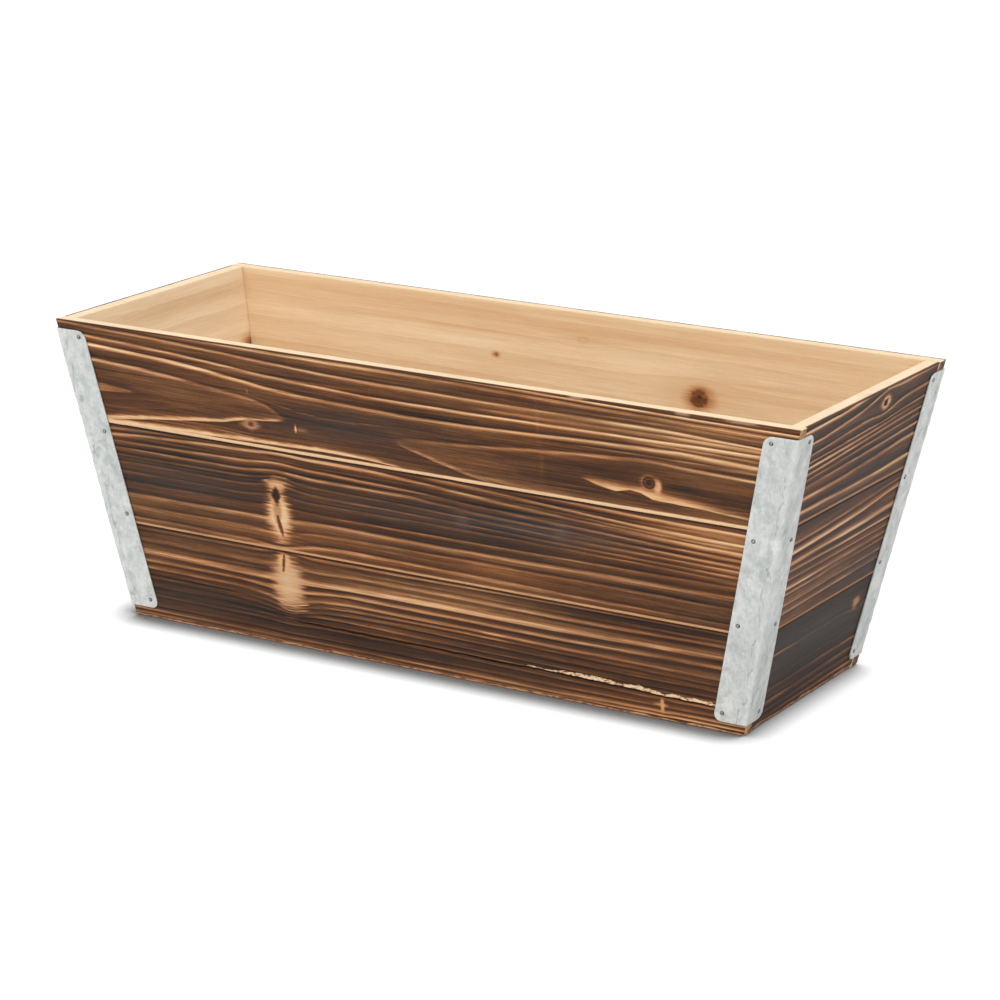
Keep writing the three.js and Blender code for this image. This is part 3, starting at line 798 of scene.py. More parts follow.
LOW_FRONT = FaceGrain(
    lines=(
        GrainLine(13, ((-250, 67), (250, 67))),
        GrainLine(12, ((-250, 59), (-100, 58.6), (100, 60), (250, 60)), ((-250, 0.62), (-120, 0.58),
            (-50, 0.47), (30, 0.43), (90, 0.58), (170, 0.66)), 1.8),
        GrainLine(11, ((-250, 51.6), (-130, 51), (-95, 50), (-50, 51.6), (100, 51), (250, 52.4)),
            ((-250, 0.6), (-130, 0.56), (-50, 0.42), (30, 0.37), (90, 0.42), (170, 0.58)), 2.2),
        GrainLine(10, ((-250, 44.2), (-170, 44), (-95, 42.4), (-50, 44), (90, 44), (250, 46)), ((-250, 0.3),
            (-130, 0.37), (-50, 0.23), (30, 0.22), (210, 0.44)), 4.2),
        GrainLine(9, ((-250, 38.6), (-130, 38.2), (-95, 36), (-50, 39), (30, 38.2), (90, 38.2),
            (250, 39.6)), ((-250, 0.44), (-130, 0.47), (-50, 0.33), (30, 0.42), (90, 0.4), (170, 0.52)),
            2.4),
        GrainLine(8, ((-250, 34.6), (-130, 33.2), (-95, 30.6), (-50, 33.5), (250, 32)), ((-250, 0.45),
            (-130, 0.5), (-50, 0.36), (30, 0.42), (50, 0.26), (62, 0.42), (170, 0.5))),
        GrainLine(7, ((-250, 31), (-140, 29.6), (-95, 27), (-50, 30), (30, 30.2), (250, 28)), ((-250, 0.8),
            (-130, 0.75), (-50, 0.41), (0, 0.5), (44, 0.44), (70, 0.6), (170, 0.62)), 1.6),
        GrainLine(6, ((-250, 27), (-140, 26.4), (-95, 24), (-50, 26.4), (250, 23.8)), ((-140, 0.8),
            (-100, 0.55), (-50, 0.5), (0, 0.6), (100, 0.66)), 1.6),
        GrainLine(5, ((-250, 22), (-50, 22.4), (0, 21.4), (250, 19.6)), ((-100, 0.8), (-50, 0.54),
            (0, 0.66), (100, 0.7)), 1.4),
        GrainLine(4, ((-250, 16), (0, 15), (90, 13.6), (250, 12)), ((0, 0.72), (140, 0.54), (170, 0.46)),
            1.5),
        GrainLine(3, ((-250, 9.4), (90, 8.2), (250, 8.7)), ((0, 0.66), (170, 0.5)), 1.4),
        GrainLine(2, ((-250, 5.8), (90, 4.1), (170, 5.4), (250, 5.8)), ((-250, 0.38), (-50, 0.62),
            (30, 0.4), (170, 0.34)), 1.6),
        GrainLine(1, ((-250, 3), (-100, 2.2), (90, 2.2), (170, 3), (250, 3)), ((-250, 0.4), (-160, 0.6),
            (60, 0.6), (170, 0.3)), 1.4),
        GrainLine(0, ((-250, -2), (250, -2))),
    ),
    extras=(
        GrainLine(0, ((-130, 18.6), (0, 18.2), (75, 17.4)), ((-130, 0.8), (-100, 0.64), (0, 0.6),
            (75, 0.5)), 0.9),
        GrainLine(0, ((-104, 30.4), (-94, 29), (-79, 30)), ((-105, 0.7), (-100, 0.24), (-81, 0.2),
            (-78, 0.7)), 1.2),
        GrainLine(0, ((-104, 27.6), (-94, 25.6), (-79, 26.2)), ((-104, 0.7), (-98, 0.36), (-82, 0.28),
            (-78, 0.7)), 1.1),
        GrainLine(0, ((148, 9.4), (170, 9.4)), ((149, 0.8), (156, 0.36), (161, 0.34), (166, 0.8)), 1.8),
        GrainLine(0, ((-60, 47.6), (40, 47.4), (80, 47.8)), ((-62, 0.7), (-40, 0.42), (30, 0.36),
            (80, 0.6)), 1.6),
        GrainLine(0, ((-40, 55.2), (60, 55)), ((-50, 0.7), (-20, 0.52), (40, 0.5), (70, 0.7)), 1.6),
    ),
    char=0.755, line_strength=0.2, blotch=0.11, rising=True, dulled=0.03, seed=11.0, bare_foot=1.7,
    bare_foot_char=0.33,
    scorches=(
        Scorch((-160, 18), (80, 9), 0.18, 0.04, 0.7), Scorch((-30, 13), (90, 4), 0.12, 0, 0.6),
        Scorch((100, 23), (90, 5), 0.09, 0, 0.3), Scorch((-150, 52), (90, 7), -0.08),
        Scorch((30, 49), (90, 5), -0.07), Scorch((30, 3.5), (230, 3), -0.06),
        Scorch((0, 53), (80, 7), -0.15), Scorch((170, 55), (56, 7), 0.1), Scorch((-50, 34), (40, 7), -0.07),
        Scorch((-160, 56), (70, 5), -0.03), Scorch((100, 8), (80, 4), -0.03),
        Scorch((60, 33.4), (14, 1.6), -0.12), Scorch((-200, 40), (40, 6), -0.05),
        Scorch((170, 8), (50, 6), -0.06),
    ),
    knots=(
        Knot((-93.4, 41), (12.2, 18), push=(14, 20), push_strength=0.3, halo_char=0.2, feather=0.8,
            square=1.9, greyed=0.16),
        Knot((-95, 54), (5.6, 7), halo_char=0.2, feather=0.4,
            slit=((-96.4, 47), (-95.4, 54), (-94.8, 59.4)), slit_width=1.3, slit_char=0.68),
        Knot((159.4, 9.2), (1.7, 5.0), push=(5, 5), push_strength=0.2, halo_char=0.26, feather=0.7),
    ),
    splits=(
        Split(((-110, 16.8), (-22, 16.6), (73, 16.2), (115, 16), (160, 14.8), (196, 14.6)), 0.6, 1.5,
            ((68, 0), (74, 1.8), (80, 0.9), (95, 1.9), (108, 2.9), (124, 3.1), (133, 1.9), (142, 2.9),
            (154, 2.7), (160, 1.5), (168, 2.4), (190, 2.0), (197, 1.4), (201, 0)), 0.55),
    ),
)

TOP_RIGHT = FaceGrain(
    lines=(
        GrainLine(0, ((-90, 195), (90, 197))),
        GrainLine(1, ((-90, 183.4), (-45, 184.6), (-20, 186.4), (0, 188.4), (40, 190), (90, 191)),
            ((-90, 0.24), (0, 0.3)), 2.4),
        GrainLine(2, ((-90, 174.6), (-60, 175.6), (-20, 179.2), (19, 184.6), (55, 187), (90, 188)),
            ((-70, 0.38), (60, 0.32))),
        GrainLine(3, ((-90, 167.6), (-60, 168.5), (19, 173.6), (55, 177), (90, 178.6)), ((-70, 0.52),
            (20, 0.4), (55, 0.43))),
        GrainLine(4, ((-90, 163), (-20, 165.2), (20, 167), (90, 171)), ((-60, 0.46), (-20, 0.44),
            (55, 0.52)), 1.6),
        GrainLine(5, ((-90, 159.7), (-20, 162), (55, 166), (90, 167)), ((-60, 0.27), (-20, 0.33),
            (55, 0.6)), 2.2),
        GrainLine(6, ((-90, 156), (-60, 156.8), (55, 163), (90, 164)), ((-60, 0.34), (-20, 0.32),
            (55, 0.47)), 1.8),
        GrainLine(7, ((-90, 152), (-20, 155), (90, 160.6)), ((-60, 0.6), (20, 0.46), (55, 0.56)), 1.6),
        GrainLine(8, ((-90, 147.6), (20, 151.6), (90, 155)), ((-60, 0.53), (55, 0.36))),
        GrainLine(9, ((-90, 141), (-20, 142.4), (20, 144.4), (55, 146.9), (90, 148)), ((-60, 0.34),
            (20, 0.56), (55, 0.39)), 2.6),
        GrainLine(10, ((-90, 133.4), (20, 133.2), (90, 135.4)), ((-60, 0.28), (-20, 0.42), (20, 0.44),
            (55, 0.31)), 3.2),
        GrainLine(11, ((-90, 126), (90, 126))),
    ),
    char=0.765, line_strength=0.34, dulled=-0.01, seed=17.0, bare_foot=2.3, bare_foot_char=0.4,
    scorches=(
        Scorch((0, 150), (300, 200), 0.03, 0.1), Scorch((0, 139), (70, 4), 0.03),
        Scorch((-20, 129.4), (60, 2), -0.05),
    ),
    knots=(
        Knot((19.2, 178), (7.8, 5.2), core=(2.6, 2.4), core_char=0.96, core_colour=0.1, push=(15, 7),
            halo_char=0.14, feather=0.3, square=1.5),
    ),
)

MIDDLE_RIGHT = FaceGrain(
    lines=(
        GrainLine(0, ((-90, 62), (90, 62))),
        GrainLine(1, ((-90, 69.6), (20, 71.5), (90, 72)), ((-60, 0.4), (20, 0.53), (50, 0.7))),
        GrainLine(2, ((-90, 75), (90, 77)), ((-60, 0.41), (0, 0.62), (50, 0.6))),
        GrainLine(3, ((-90, 82), (90, 83.4)), ((-60, 0.4), (10, 0.6), (60, 0.6)), 1.6),
        GrainLine(4, ((-90, 85.6), (90, 87.4)), ((-60, 0.29), (-35, 0.32), (-15, 0.44), (50, 0.58)), 2.4),
        GrainLine(5, ((-90, 91.2), (90, 91.8)), ((-60, 0.56), (-15, 0.5), (50, 0.53)), 1.8),
        GrainLine(6, ((-90, 96.8), (20, 96.6), (90, 97.4)), ((-60, 0.43), (-15, 0.46), (20, 0.31),
            (55, 0.36)), 2.2),
        GrainLine(7, ((-90, 100.6), (-20, 102.4), (20, 102.4), (90, 105)), ((-60, 0.4), (-20, 0.37),
            (5, 0.22), (30, 0.22), (55, 0.36)), 3.6),
        GrainLine(8, ((-90, 107.6), (-20, 109.8), (20, 111.8), (55, 115), (90, 117)), ((-80, 0.21),
            (-20, 0.2), (55, 0.5)), 3.4),
        GrainLine(9, ((-90, 113.6), (-20, 115.4), (90, 121)), ((-60, 0.46), (-20, 0.47), (10, 0.6),
            (60, 0.66)), 2.0),
        GrainLine(10, ((-90, 124), (90, 128))),
    ),
    char=0.705, line_strength=0.26, rising=True, dulled=-0.03, joint_shade=1.5, seed=19.0, bare_foot=1.9,
    bare_foot_char=0.43,
    scorches=(
        Scorch((0, 95), (300, 200), 0.03, 0.1), Scorch((0, 121), (90, 4), 0.04),
        Scorch((-10, 76), (44, 11), -0.08), Scorch((50, 72), (24, 9), 0.06, 0.1),
        Scorch((-60, 80), (24, 12), -0.06),
    ),
)

LOW_RIGHT = FaceGrain(
    lines=(
        GrainLine(0, ((-80, 66), (80, 66))),
        GrainLine(1, ((-80, 44.6), (80, 46)), ((-62, 0.44), (-40, 0.46), (-24, 0.7), (60, 0.74)), 1.8),
        GrainLine(2, ((-80, 30), (80, 31))),
        GrainLine(3, ((-80, 22.4), (80, 23.2)), ((-60, 0.66), (-20, 0.76), (10, 0.6), (50, 0.52)), 2.2),
        GrainLine(4, ((-80, 14.4), (-20, 14.8), (80, 16.4)), ((-62, 0.44), (-45, 0.46), (-20, 0.64),
            (50, 0.55)), 2.4),
        GrainLine(5, ((-80, 9), (80, 10.8)), ((-60, 0.6), (-20, 0.72), (20, 0.58), (50, 0.58)), 1.8),
        GrainLine(6, ((-80, 5), (80, 6.2)), ((-30, 0.7), (0, 0.6), (20, 0.45), (60, 0.45)), 2.0),
        GrainLine(7, ((-80, -2), (80, -2))),
    ),
    char=0.86, line_strength=0.1, blotch=0.08, dulled=0.06, joint_shade=1.8, seed=23.0, bare_foot=2.4,
    bare_foot_char=0.35,
    scorches=(
        Scorch((0, 42), (300, 30), 0.09, 0.08), Scorch((0, 44), (90, 18), 0.02, 0.16, 0.8),
        Scorch((-40, 14), (40, 6), -0.08), Scorch((40, 12), (40, 9), -0.05),
    ),
    knots=(
        Knot((48.3, 47.6), (6.4, 5.2), push=(12, 7), halo_char=0.38, feather=0.7),
    ),
)

INSIDE_TOP_BACK = inside_face(
    29, 125, 188, 255, char=0.115,
    scorches=(
        Scorch((0, 178), (300, 8), 0.04), Scorch((-60, 162), (220, 4), -0.035),
        Scorch((-90, 168.6), (90, 1.3), 0.05), Scorch((60, 176), (120, 1.6), 0.04),
        Scorch((-120, 180), (90, 1.5), 0.03), Scorch((150, 158), (50, 1.6), 0.06),
        Scorch((160, 150), (50, 2), 0.04), Scorch((0, 184), (200, 1.5), 0.03),
        Scorch((20, 171), (26, 1.8), 0.06), Scorch((97, 146), (22, 8), 0.05),
        Scorch((-160, 149), (60, 2.4), -0.03),
    ),
    knots=(
        Knot((96.8, 145.8), (11.5, 8), push=(26, 11), halo_char=0.26, feather=0.3),
        Knot((96.2, 145.8), (6.4, 6), core=(5.4, 5.2), core_char=0.62, core_colour=0.5, rings=1.5,
            ring_depth=0.12, halo_char=0.42, feather=0.5, slit=((94.6, 142.6), (96, 146), (97.6, 148.6)),
            slit_width=0.7, slit_char=0.95),
        Knot((-47, 154.6), (3.4, 2.2), core=(1.7, 1.2), core_char=0.5, core_colour=0.2, push=(9, 5),
            halo_char=0.17, feather=0.3),
        Knot((14, 171), (4, 2), core=(0.5, 0.4), core_char=0.2, push=(14, 5), halo_char=0.15),
    ),
)

SEEN_FACES = {
    "front": (LOW_FRONT, MIDDLE_FRONT, TOP_FRONT), "right_end": (LOW_RIGHT, MIDDLE_RIGHT, TOP_RIGHT),
}
BUSY_STRETCHES = (((-106, -80), (60, 202)), ((-108, -84),), ((-122, -70), (148, 166)))


# ---------------------------------------------------------------- lofting

class Zone(Enum):
    """Which side of a board a row of its section lies on."""

    OUTSIDE = 0
    INSIDE = 1
    UPPER_EDGE = 2
    LOWER_EDGE = 3


@dataclass
class Section:
    """A board's end-on outline as rows of points with their outward directions."""

    outline: list[tuple[float, ...]] = field(default_factory=list)

    def straight(self, start: Point, end: Point, rows: int, zone: Zone) -> None:
        """Adds a flat run, without its last point.

        Args:
            start: first (up, deep) point.
            end: last (up, deep) point.
            rows: how many rows it is cut into.
            zone: the side that it belongs to.
        """
        du, dd = end[0] - start[0], end[1] - start[1]
        length = math.hypot(du, dd)
        for k in range(rows):
            t = k / rows
            self.add(start[0] + du * t, start[1] + dd * t, dd / length, -du / length, zone)

    def run(self, points: Sequence[Point], rows: Sequence[int], zone: Zone) -> None:
        """Adds flat runs from point to point, without the last point."""
        for start, end, count in zip(points, points[1:], rows):
            self.straight(start, end, count, zone)

    def turn(self, start: Point, corner: Point, end: Point, rows: int, zone: Zone) -> None:
        """Adds a rounded corner from start to end, without its last point.

        Args:
            start: where the rounding leaves the first side.
            corner: the sharp corner that it replaces.
            end: where it meets the second side.
            rows: how many rows it is cut into.
            zone: the side that it belongs to.
        """
        for k in range(rows):
            t = k / rows
            a, b, c = (1 - t) ** 2, 2 * t * (1 - t), t * t
            up = a * start[0] + b * corner[0] + c * end[0]
            deep = a * start[1] + b * corner[1] + c * end[1]
            du = (1 - t) * (corner[0] - start[0]) + t * (end[0] - corner[0])
            dd = (1 - t) * (corner[1] - start[1]) + t * (end[1] - corner[1])
            length = math.hypot(du, dd) or 1.0
            self.add(up, deep, dd / length, -du / length, zone)

    def add(self, up: float, deep: float, out_up: float, out_deep: float, zone: Zone) -> None:
        """Adds one row."""
        self.outline.append((up, deep, out_up, out_deep, zone.value))


def spaced_columns(reach: float, usual: float, fine: float, busy: Sequence[tuple[float, float]]) -> Array:
    """Places columns along a board, closer together where there is more to shape.

    Args:
        reach: half the board's length.
        usual: the usual distance between columns.
        fine: the distance in the busy stretches.
        busy: (start, end) of each busy stretch.

    Returns:
        Places from -1 to 1.
    """
    x = np.linspace(-reach, reach, 2001)
    density = np.full_like(x, 1 / usual)
    for start, end in busy:
        near = smooth_step(start - 8, start, x) * smooth_step(end + 8, end, x)
        density = np.maximum(density, 1 / usual + (1 / fine - 1 / usual) * near)
    total = np.concatenate([[0], np.cumsum((density[1:] + density[:-1]) / 2 * np.diff(x))])
    count = int(total[-1])
    return np.interp(np.linspace(0, total[-1], count), total, x) / reach


def mesh_of(bm: bmesh.types.BMesh, name: str) -> bpy.types.Mesh:
    """Turns a shape into a mesh and lets the shape go.

    Args:
        bm: the shape.
        name: the mesh's name.

    Returns:
        The mesh.
    """
    mesh = bpy.data.meshes.new(name)
    bm.to_mesh(mesh)
    bm.free()
    return mesh


def open_tube(name: str, columns: int, rows: int, place: Callable[[Array, Array], Array]) -> bpy.types.Mesh:
    """Makes a grid and bends it into a tube of the given section, not yet closed.

    Args:
        name: the mesh's name.
        columns: how many columns of points there are.
        rows: how many rows the section has.
        place: gives the points, in metres, from column and row numbers.

    Returns:
        The mesh.
    """
    bm = bmesh.new()
    bmesh.ops.create_grid(bm, x_segments=columns - 1, y_segments=rows, size=0.5)
    mesh = mesh_of(bm, name)
    flat = np.empty(len(mesh.vertices) * 3, np.float32)
    mesh.vertices.foreach_get("co", flat)
    flat = flat.reshape(-1, 3)
    column = np.rint((flat[:, 0] + 0.5) * (columns - 1)).astype(int)
    row = np.rint((flat[:, 1] + 0.5) * rows).astype(int) % rows
    mesh.vertices.foreach_set("co", place(column, row).astype(np.float32).ravel())
    return mesh


def set_values(mesh: bpy.types.Mesh, name: str, values: Array) -> None:
    """Writes one value, or one vector, for each point of a mesh."""
    kind, key = ("FLOAT_VECTOR", "vector") if values.ndim == 2 else ("FLOAT", "value")
    mesh.attributes.new(name, kind, "POINT").data.foreach_set(key, values.astype(np.float32).ravel())


def soften(bm: bmesh.types.BMesh, sharp_above: float = 180) -> None:
    """Shades a shape smoothly and keeps its sharper edges.

    Args:
        bm: the shape.
        sharp_above: the angle, in degrees, above which an edge stays sharp.
    """
    for face in bm.faces:
        face.smooth = True
    for edge in bm.edges:
        if len(edge.link_faces) == 2 and edge.calc_face_angle(0.0) > math.radians(sharp_above):
            edge.smooth = False


def close_tube(mesh: bpy.types.Mesh, values: dict[str, Array], sides: bpy.types.Material,
               ends: bpy.types.Material) -> bpy.types.Object:
    """Joins a tube's seam, closes its two ends, turns its faces outwards and shows it.

    Args:
        mesh: the tube.
        values: what the finish needs to know at each point.
        sides: the finish along the tube.
        ends: the finish of its two ends.

    Returns:
        The piece.
    """
    for name, value in values.items():
        set_values(mesh, name, value)
    bm = bmesh.new()
    bm.from_mesh(mesh)
    rim = list({v for e in bm.edges if e.is_boundary for v in e.verts})
    bmesh.ops.remove_doubles(bm, verts=rim, dist=1e-7)
    open_edges = [e for e in bm.edges if e.is_boundary]
    caps = bmesh.ops.edgeloop_fill(bm, edges=open_edges, mat_nr=1)["faces"]
    bmesh.ops.recalc_face_normals(bm, faces=bm.faces[:])
    soften(bm, 50)
    for face in caps:
        face.smooth = False
    bm.to_mesh(mesh)
    bm.free()
    mesh.materials.append(sides)
    mesh.materials.append(ends)
    return show(mesh, mesh.name)


def show(mesh: bpy.types.Mesh, name: str) -> bpy.types.Object:
    """Puts a mesh into the scene as an object at the origin.

    Args:
        mesh: the mesh.
        name: the object's name.

    Returns:
        The object.
    """
    piece = bpy.data.objects.new(name, mesh)
    bpy.context.scene.collection.objects.link(piece)
    return piece


def seat(piece: bpy.types.Object, node: str) -> None:
    """Lets a piece ride on the box in place of a CAD node.

    Args:
        piece: the new piece.
        node: the CAD node that it stands for.
    """
    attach(piece, "root")
    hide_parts(node)
    LOG.info("%s stands for %s with %d faces", piece.name, node, len(piece.data.polygons))


# ---------------------------------------------------------------- finishes

class Nodes:
    """A short way to write the nodes of a material or of the sky."""

    def __init__(self, tree: bpy.types.NodeTree) -> None:
        """Starts on a tree."""
        self.tree = tree

    def link(self, source: object, target: bpy.types.NodeSocket) -> None:
        """Links a socket, or writes a plain value, into an input.

        Args:
            source: the socket or value.
            target: the input.
        """
        if isinstance(source, bpy.types.NodeSocket):
            self.tree.links.new(source, target)
        else:
            target.default_value = (*source, 1) if target.type == "RGBA" else source

    def add(self, kind: str, inputs: dict[str | int, object], **settings: object) -> bpy.types.Node:
        """Adds a node.

        Args:
            kind: its type, without the leading words.
            inputs: what goes into each input, by name or number.
            **settings: its other values.

        Returns:
            The node.
        """
        node = self.tree.nodes.new(f"ShaderNode{kind}")
        for name, value in settings.items():
            setattr(node, name, value)
        for key, value in inputs.items():
            self.link(value, node.inputs[key])
        return node

    def attribute(self, name: str, vector: bool = False) -> bpy.types.NodeSocket:
        """Reads a value of the mesh."""
        return self.add("Attribute", {}, attribute_name=name).outputs["Vector" if vector else "Fac"]

    def place(self) -> bpy.types.NodeSocket:
        """The place on the object, in metres."""
        return self.add("TexCoord", {}).outputs["Object"]

    def math(self, kind: str, *values: object, clamp: bool = False) -> bpy.types.NodeSocket:
        """One sum."""
        return self.add("Math", dict(enumerate(values)), operation=kind, use_clamp=clamp).outputs[0]

    def vector(self, kind: str, *values: object) -> bpy.types.NodeSocket:
        """One vector sum."""
        return self.add("VectorMath", dict(enumerate(values)), operation=kind).outputs[0]

    def length(self, value: bpy.types.NodeSocket) -> bpy.types.NodeSocket:
        """How long a vector is."""
        return self.add("VectorMath", {0: value}, operation="LENGTH").outputs["Value"]

    def combine(self, x: object, y: object, z: object) -> bpy.types.NodeSocket:
        """A vector of three values."""
        return self.add("CombineXYZ", {"X": x, "Y": y, "Z": z}).outputs[0]

    def separate(self, source: bpy.types.NodeSocket) -> list[bpy.types.NodeSocket]:
        """The three values of a vector."""
        return list(self.add("SeparateXYZ", {0: source}).outputs)

    def noise(self, place: object, scale: float, detail: float = 2, rough: float = 0.5,
              bend: float = 0) -> bpy.types.NodeSocket:
        """Noise around one half."""
        inputs = {"Vector": place, "Scale": scale, "Detail": detail, "Roughness": rough, "Distortion": bend}
        return self.add("TexNoise", inputs).outputs["Fac"]

    def spangle(self, place: object, scale: float) -> bpy.types.NodeSocket:
        """One grey per crystal."""
        return self.separate(self.add("TexVoronoi", {"Vector": place, "Scale": scale}).outputs["Color"])[0]

    def ramp(self, value: object, stops: Sequence[tuple[float, Sequence[float]]]) -> bpy.types.NodeSocket:
        """Colours, or greys, along a value.

        Args:
            value: the value.
            stops: the place and colour of each stop.

        Returns:
            The colour.
        """
        node = self.add("ValToRGB", {0: value})
        elements = node.color_ramp.elements
        while len(elements) > 1:
            elements.remove(elements[-1])
        for index, (at, colour) in enumerate(stops):
            element = elements[0] if index == 0 else elements.new(at)
            element.position = at
            element.color = (*colour, 1) if len(colour) == 3 else (colour[0],) * 3 + (1,)
        return node.outputs["Color"]

    def remap(self, value: object, low: float, high: float, to_low: object = 0,
              to_high: float = 1) -> bpy.types.NodeSocket:
        """Moves a value from one range to another, kept within it."""
        inputs = dict(enumerate((value, low, high, to_low, to_high)))
        return self.add("MapRange", inputs).outputs[0]

    def mix(self, amount: object, first: object, second: object) -> bpy.types.NodeSocket:
        """Mixes two colours."""
        return self.add("Mix", {"Factor": amount, 6: first, 7: second}, data_type="RGBA").outputs[2]


class Shader(Nodes):
    """A material with its one surface."""

    def __init__(self, name: str) -> None:
        """Starts a material that has only its surface and output.

        Args:
            name: the material's name.
        """
        self.material = bpy.data.materials.new(name)
        self.material.use_nodes = True
        super().__init__(self.material.node_tree)
        self.tree.nodes.clear()
        self.surface = self.add("BsdfPrincipled", {})
        self.output = self.add("OutputMaterial", {0: self.surface.outputs[0]})

    def cover(self, inputs: dict[str, object]) -> None:
        """Fills in the surface's inputs."""
        for name, value in inputs.items():
            self.link(value, self.surface.inputs[name])

    def bump(self, height: object, depth: float, strength: float = 1.0) -> None:
        """Gives the surface a relief, depth in metres."""
        node = self.add("Bump", {"Height": height, "Distance": depth, "Strength": strength})
        self.link(node.outputs[0], self.surface.inputs["Normal"])


def linear(red: int, green: int, blue: int) -> tuple[float, float, float]:
    """Turns a screen colour, 0 to 255, into the shader's linear values.

    Args:
        red: red.
        green: green.
        blue: blue.

    Returns:
        The three linear values.
    """
    def one(value: int) -> float:
        """One channel."""
        share = value / 255
        return share / 12.92 if share <= 0.04045 else ((share + 0.055) / 1.055) ** 2.4
    return one(red), one(green), one(blue)


@dataclass(frozen=True)
class TorchedPine:
    """Pine from raw through toasted to charred, its colour a function of how far the flame went."""

    raw: tuple[float, ...] = linear(248, 226, 192)
    pale: tuple[float, ...] = linear(222, 191, 151)
    toasted: tuple[float, ...] = linear(204, 158, 113)
    amber: tuple[float, ...] = linear(160, 111, 71)
    brown: tuple[float, ...] = linear(112, 73, 42)
    dark: tuple[float, ...] = linear(72, 46, 29)
    char: tuple[float, ...] = linear(46, 32, 23)
    soot: tuple[float, ...] = linear(28, 21, 17)
    ash: tuple[float, ...] = linear(112, 108, 106)
    knot_wood: tuple[float, ...] = linear(92, 54, 32)
    cool_cast: tuple[float, ...] = (0.95, 0.99, 1.06)
    warm_cast: tuple[float, ...] = (1.07, 0.985, 0.95)
    crisp: float = 0.00022

    def build(self) -> bpy.types.Material:
        """Builds the material.

        Returns:
            The material.
        """
        s = Shader("torched_pine")
        ring, char = s.attribute("ring"), s.attribute("char")
        line, tint = s.attribute("line"), s.attribute("tint")
        along, across, seed = s.separate(s.attribute("grain", vector=True))
        burnt = s.remap(char, 0.2, 0.55)

        def drawn_out(length: float, width: float, detail: float, rough: float = 0.5,
                      over: bpy.types.NodeSocket = across) -> bpy.types.NodeSocket:
            """Noise drawn out along the grain, with its steps per millimetre along and across."""
            spot = s.combine(s.math("MULTIPLY", along, length), s.math("MULTIPLY", over, width), seed)
            return s.noise(spot, 1, detail, rough)

        wobble = drawn_out(0.02, 0.4, 1)
        ring = s.math("ADD", ring, s.math("MULTIPLY", s.math("SUBTRACT", wobble, 0.5), 0.07))
        part = s.math("FRACT", ring)
        number = s.math("FLOOR", ring)
        profile = s.ramp(part, (
            (0.0, (0.0,)), (0.05, (0.03,)), (0.1, (0.3,)), (0.22, (0.5,)), (0.5, (0.68,)),
            (0.8, (0.9,)), (0.965, (1.0,)), (1.0, (0.45,)),
        ))
        profile = s.math("SUBTRACT", profile, 0.7)
        life = drawn_out(0.014, 5.3, 2, over=number)
        strength = s.math("MULTIPLY", line, s.remap(life, 0.3, 0.7, 0.45, 1.5))
        level = s.math("ADD", char, s.math("MULTIPLY", profile, strength))

        second = s.math("FRACT", s.math("ADD", s.math("MULTIPLY", ring, 3), s.math("MULTIPLY", life, 1.5)))
        second = s.ramp(second, (
            (0.0, (0.0,)), (0.16, (0.45,)), (0.6, (0.8,)), (0.95, (1.0,)), (1.0, (0.4,)),
        ))
        fade = drawn_out(0.02, 1.1, 1, over=ring)
        second = s.math("MULTIPLY", s.math("SUBTRACT", second, 0.65), s.remap(fade, 0.42, 0.7, 0.0, 0.5))
        level = s.math("ADD", level, s.math("MULTIPLY", second, line))

        streak = drawn_out(0.016, 0.9, 4, 0.7)
        fibre = drawn_out(0.09, 2.6, 3, 0.6)
        speck = drawn_out(0.5, 3.5, 2, 0.6)
        for texture, on_raw, on_burnt in ((streak, 0.12, 0.5), (fibre, 0.1, 0.26), (speck, 0.05, 0.14)):
            swing = s.math("SUBTRACT", texture, 0.5)
            swing = s.math("MULTIPLY", swing, s.remap(burnt, 0, 1, on_raw, on_burnt))
            level = s.math("ADD", level, swing, clamp=texture is speck)

        colour = s.ramp(level, (
            (0.0, self.raw), (0.13, self.pale), (0.25, self.toasted), (0.42, self.amber), (0.58, self.brown),
            (0.76, self.dark), (0.92, self.char), (1.0, self.soot),
        ))
        colour = s.mix(s.math("MULTIPLY", tint, 0.6, clamp=True), colour, self.knot_wood)
        colour = s.mix(s.math("MULTIPLY", tint, -1.0, clamp=True), colour, self.ash)
        warmth = drawn_out(0.008, 0.07, 2)
        cast = s.mix(s.remap(warmth, 0.4, 0.6), self.cool_cast, self.warm_cast)
        colour = s.vector("MULTIPLY", colour, s.mix(burnt, (1.0, 1.0, 1.0), cast))
        rough = s.remap(level, 0.1, 0.9, 0.5, 0.62)
        s.cover({"Base Color": colour, "Roughness": rough, "Specular IOR Level": 0.15})
        relief = s.math("ADD", s.math("MULTIPLY", profile, -0.9), s.math("MULTIPLY", streak, -0.9))
        relief = s.math("MULTIPLY", relief, s.remap(burnt, 0, 1, 0.12, 1.0))
        relief = s.math("ADD", relief, s.math("MULTIPLY", fibre, s.remap(burnt, 0, 1, 0.35, 0.8)))
        s.bump(relief, self.crisp)
        return s.material


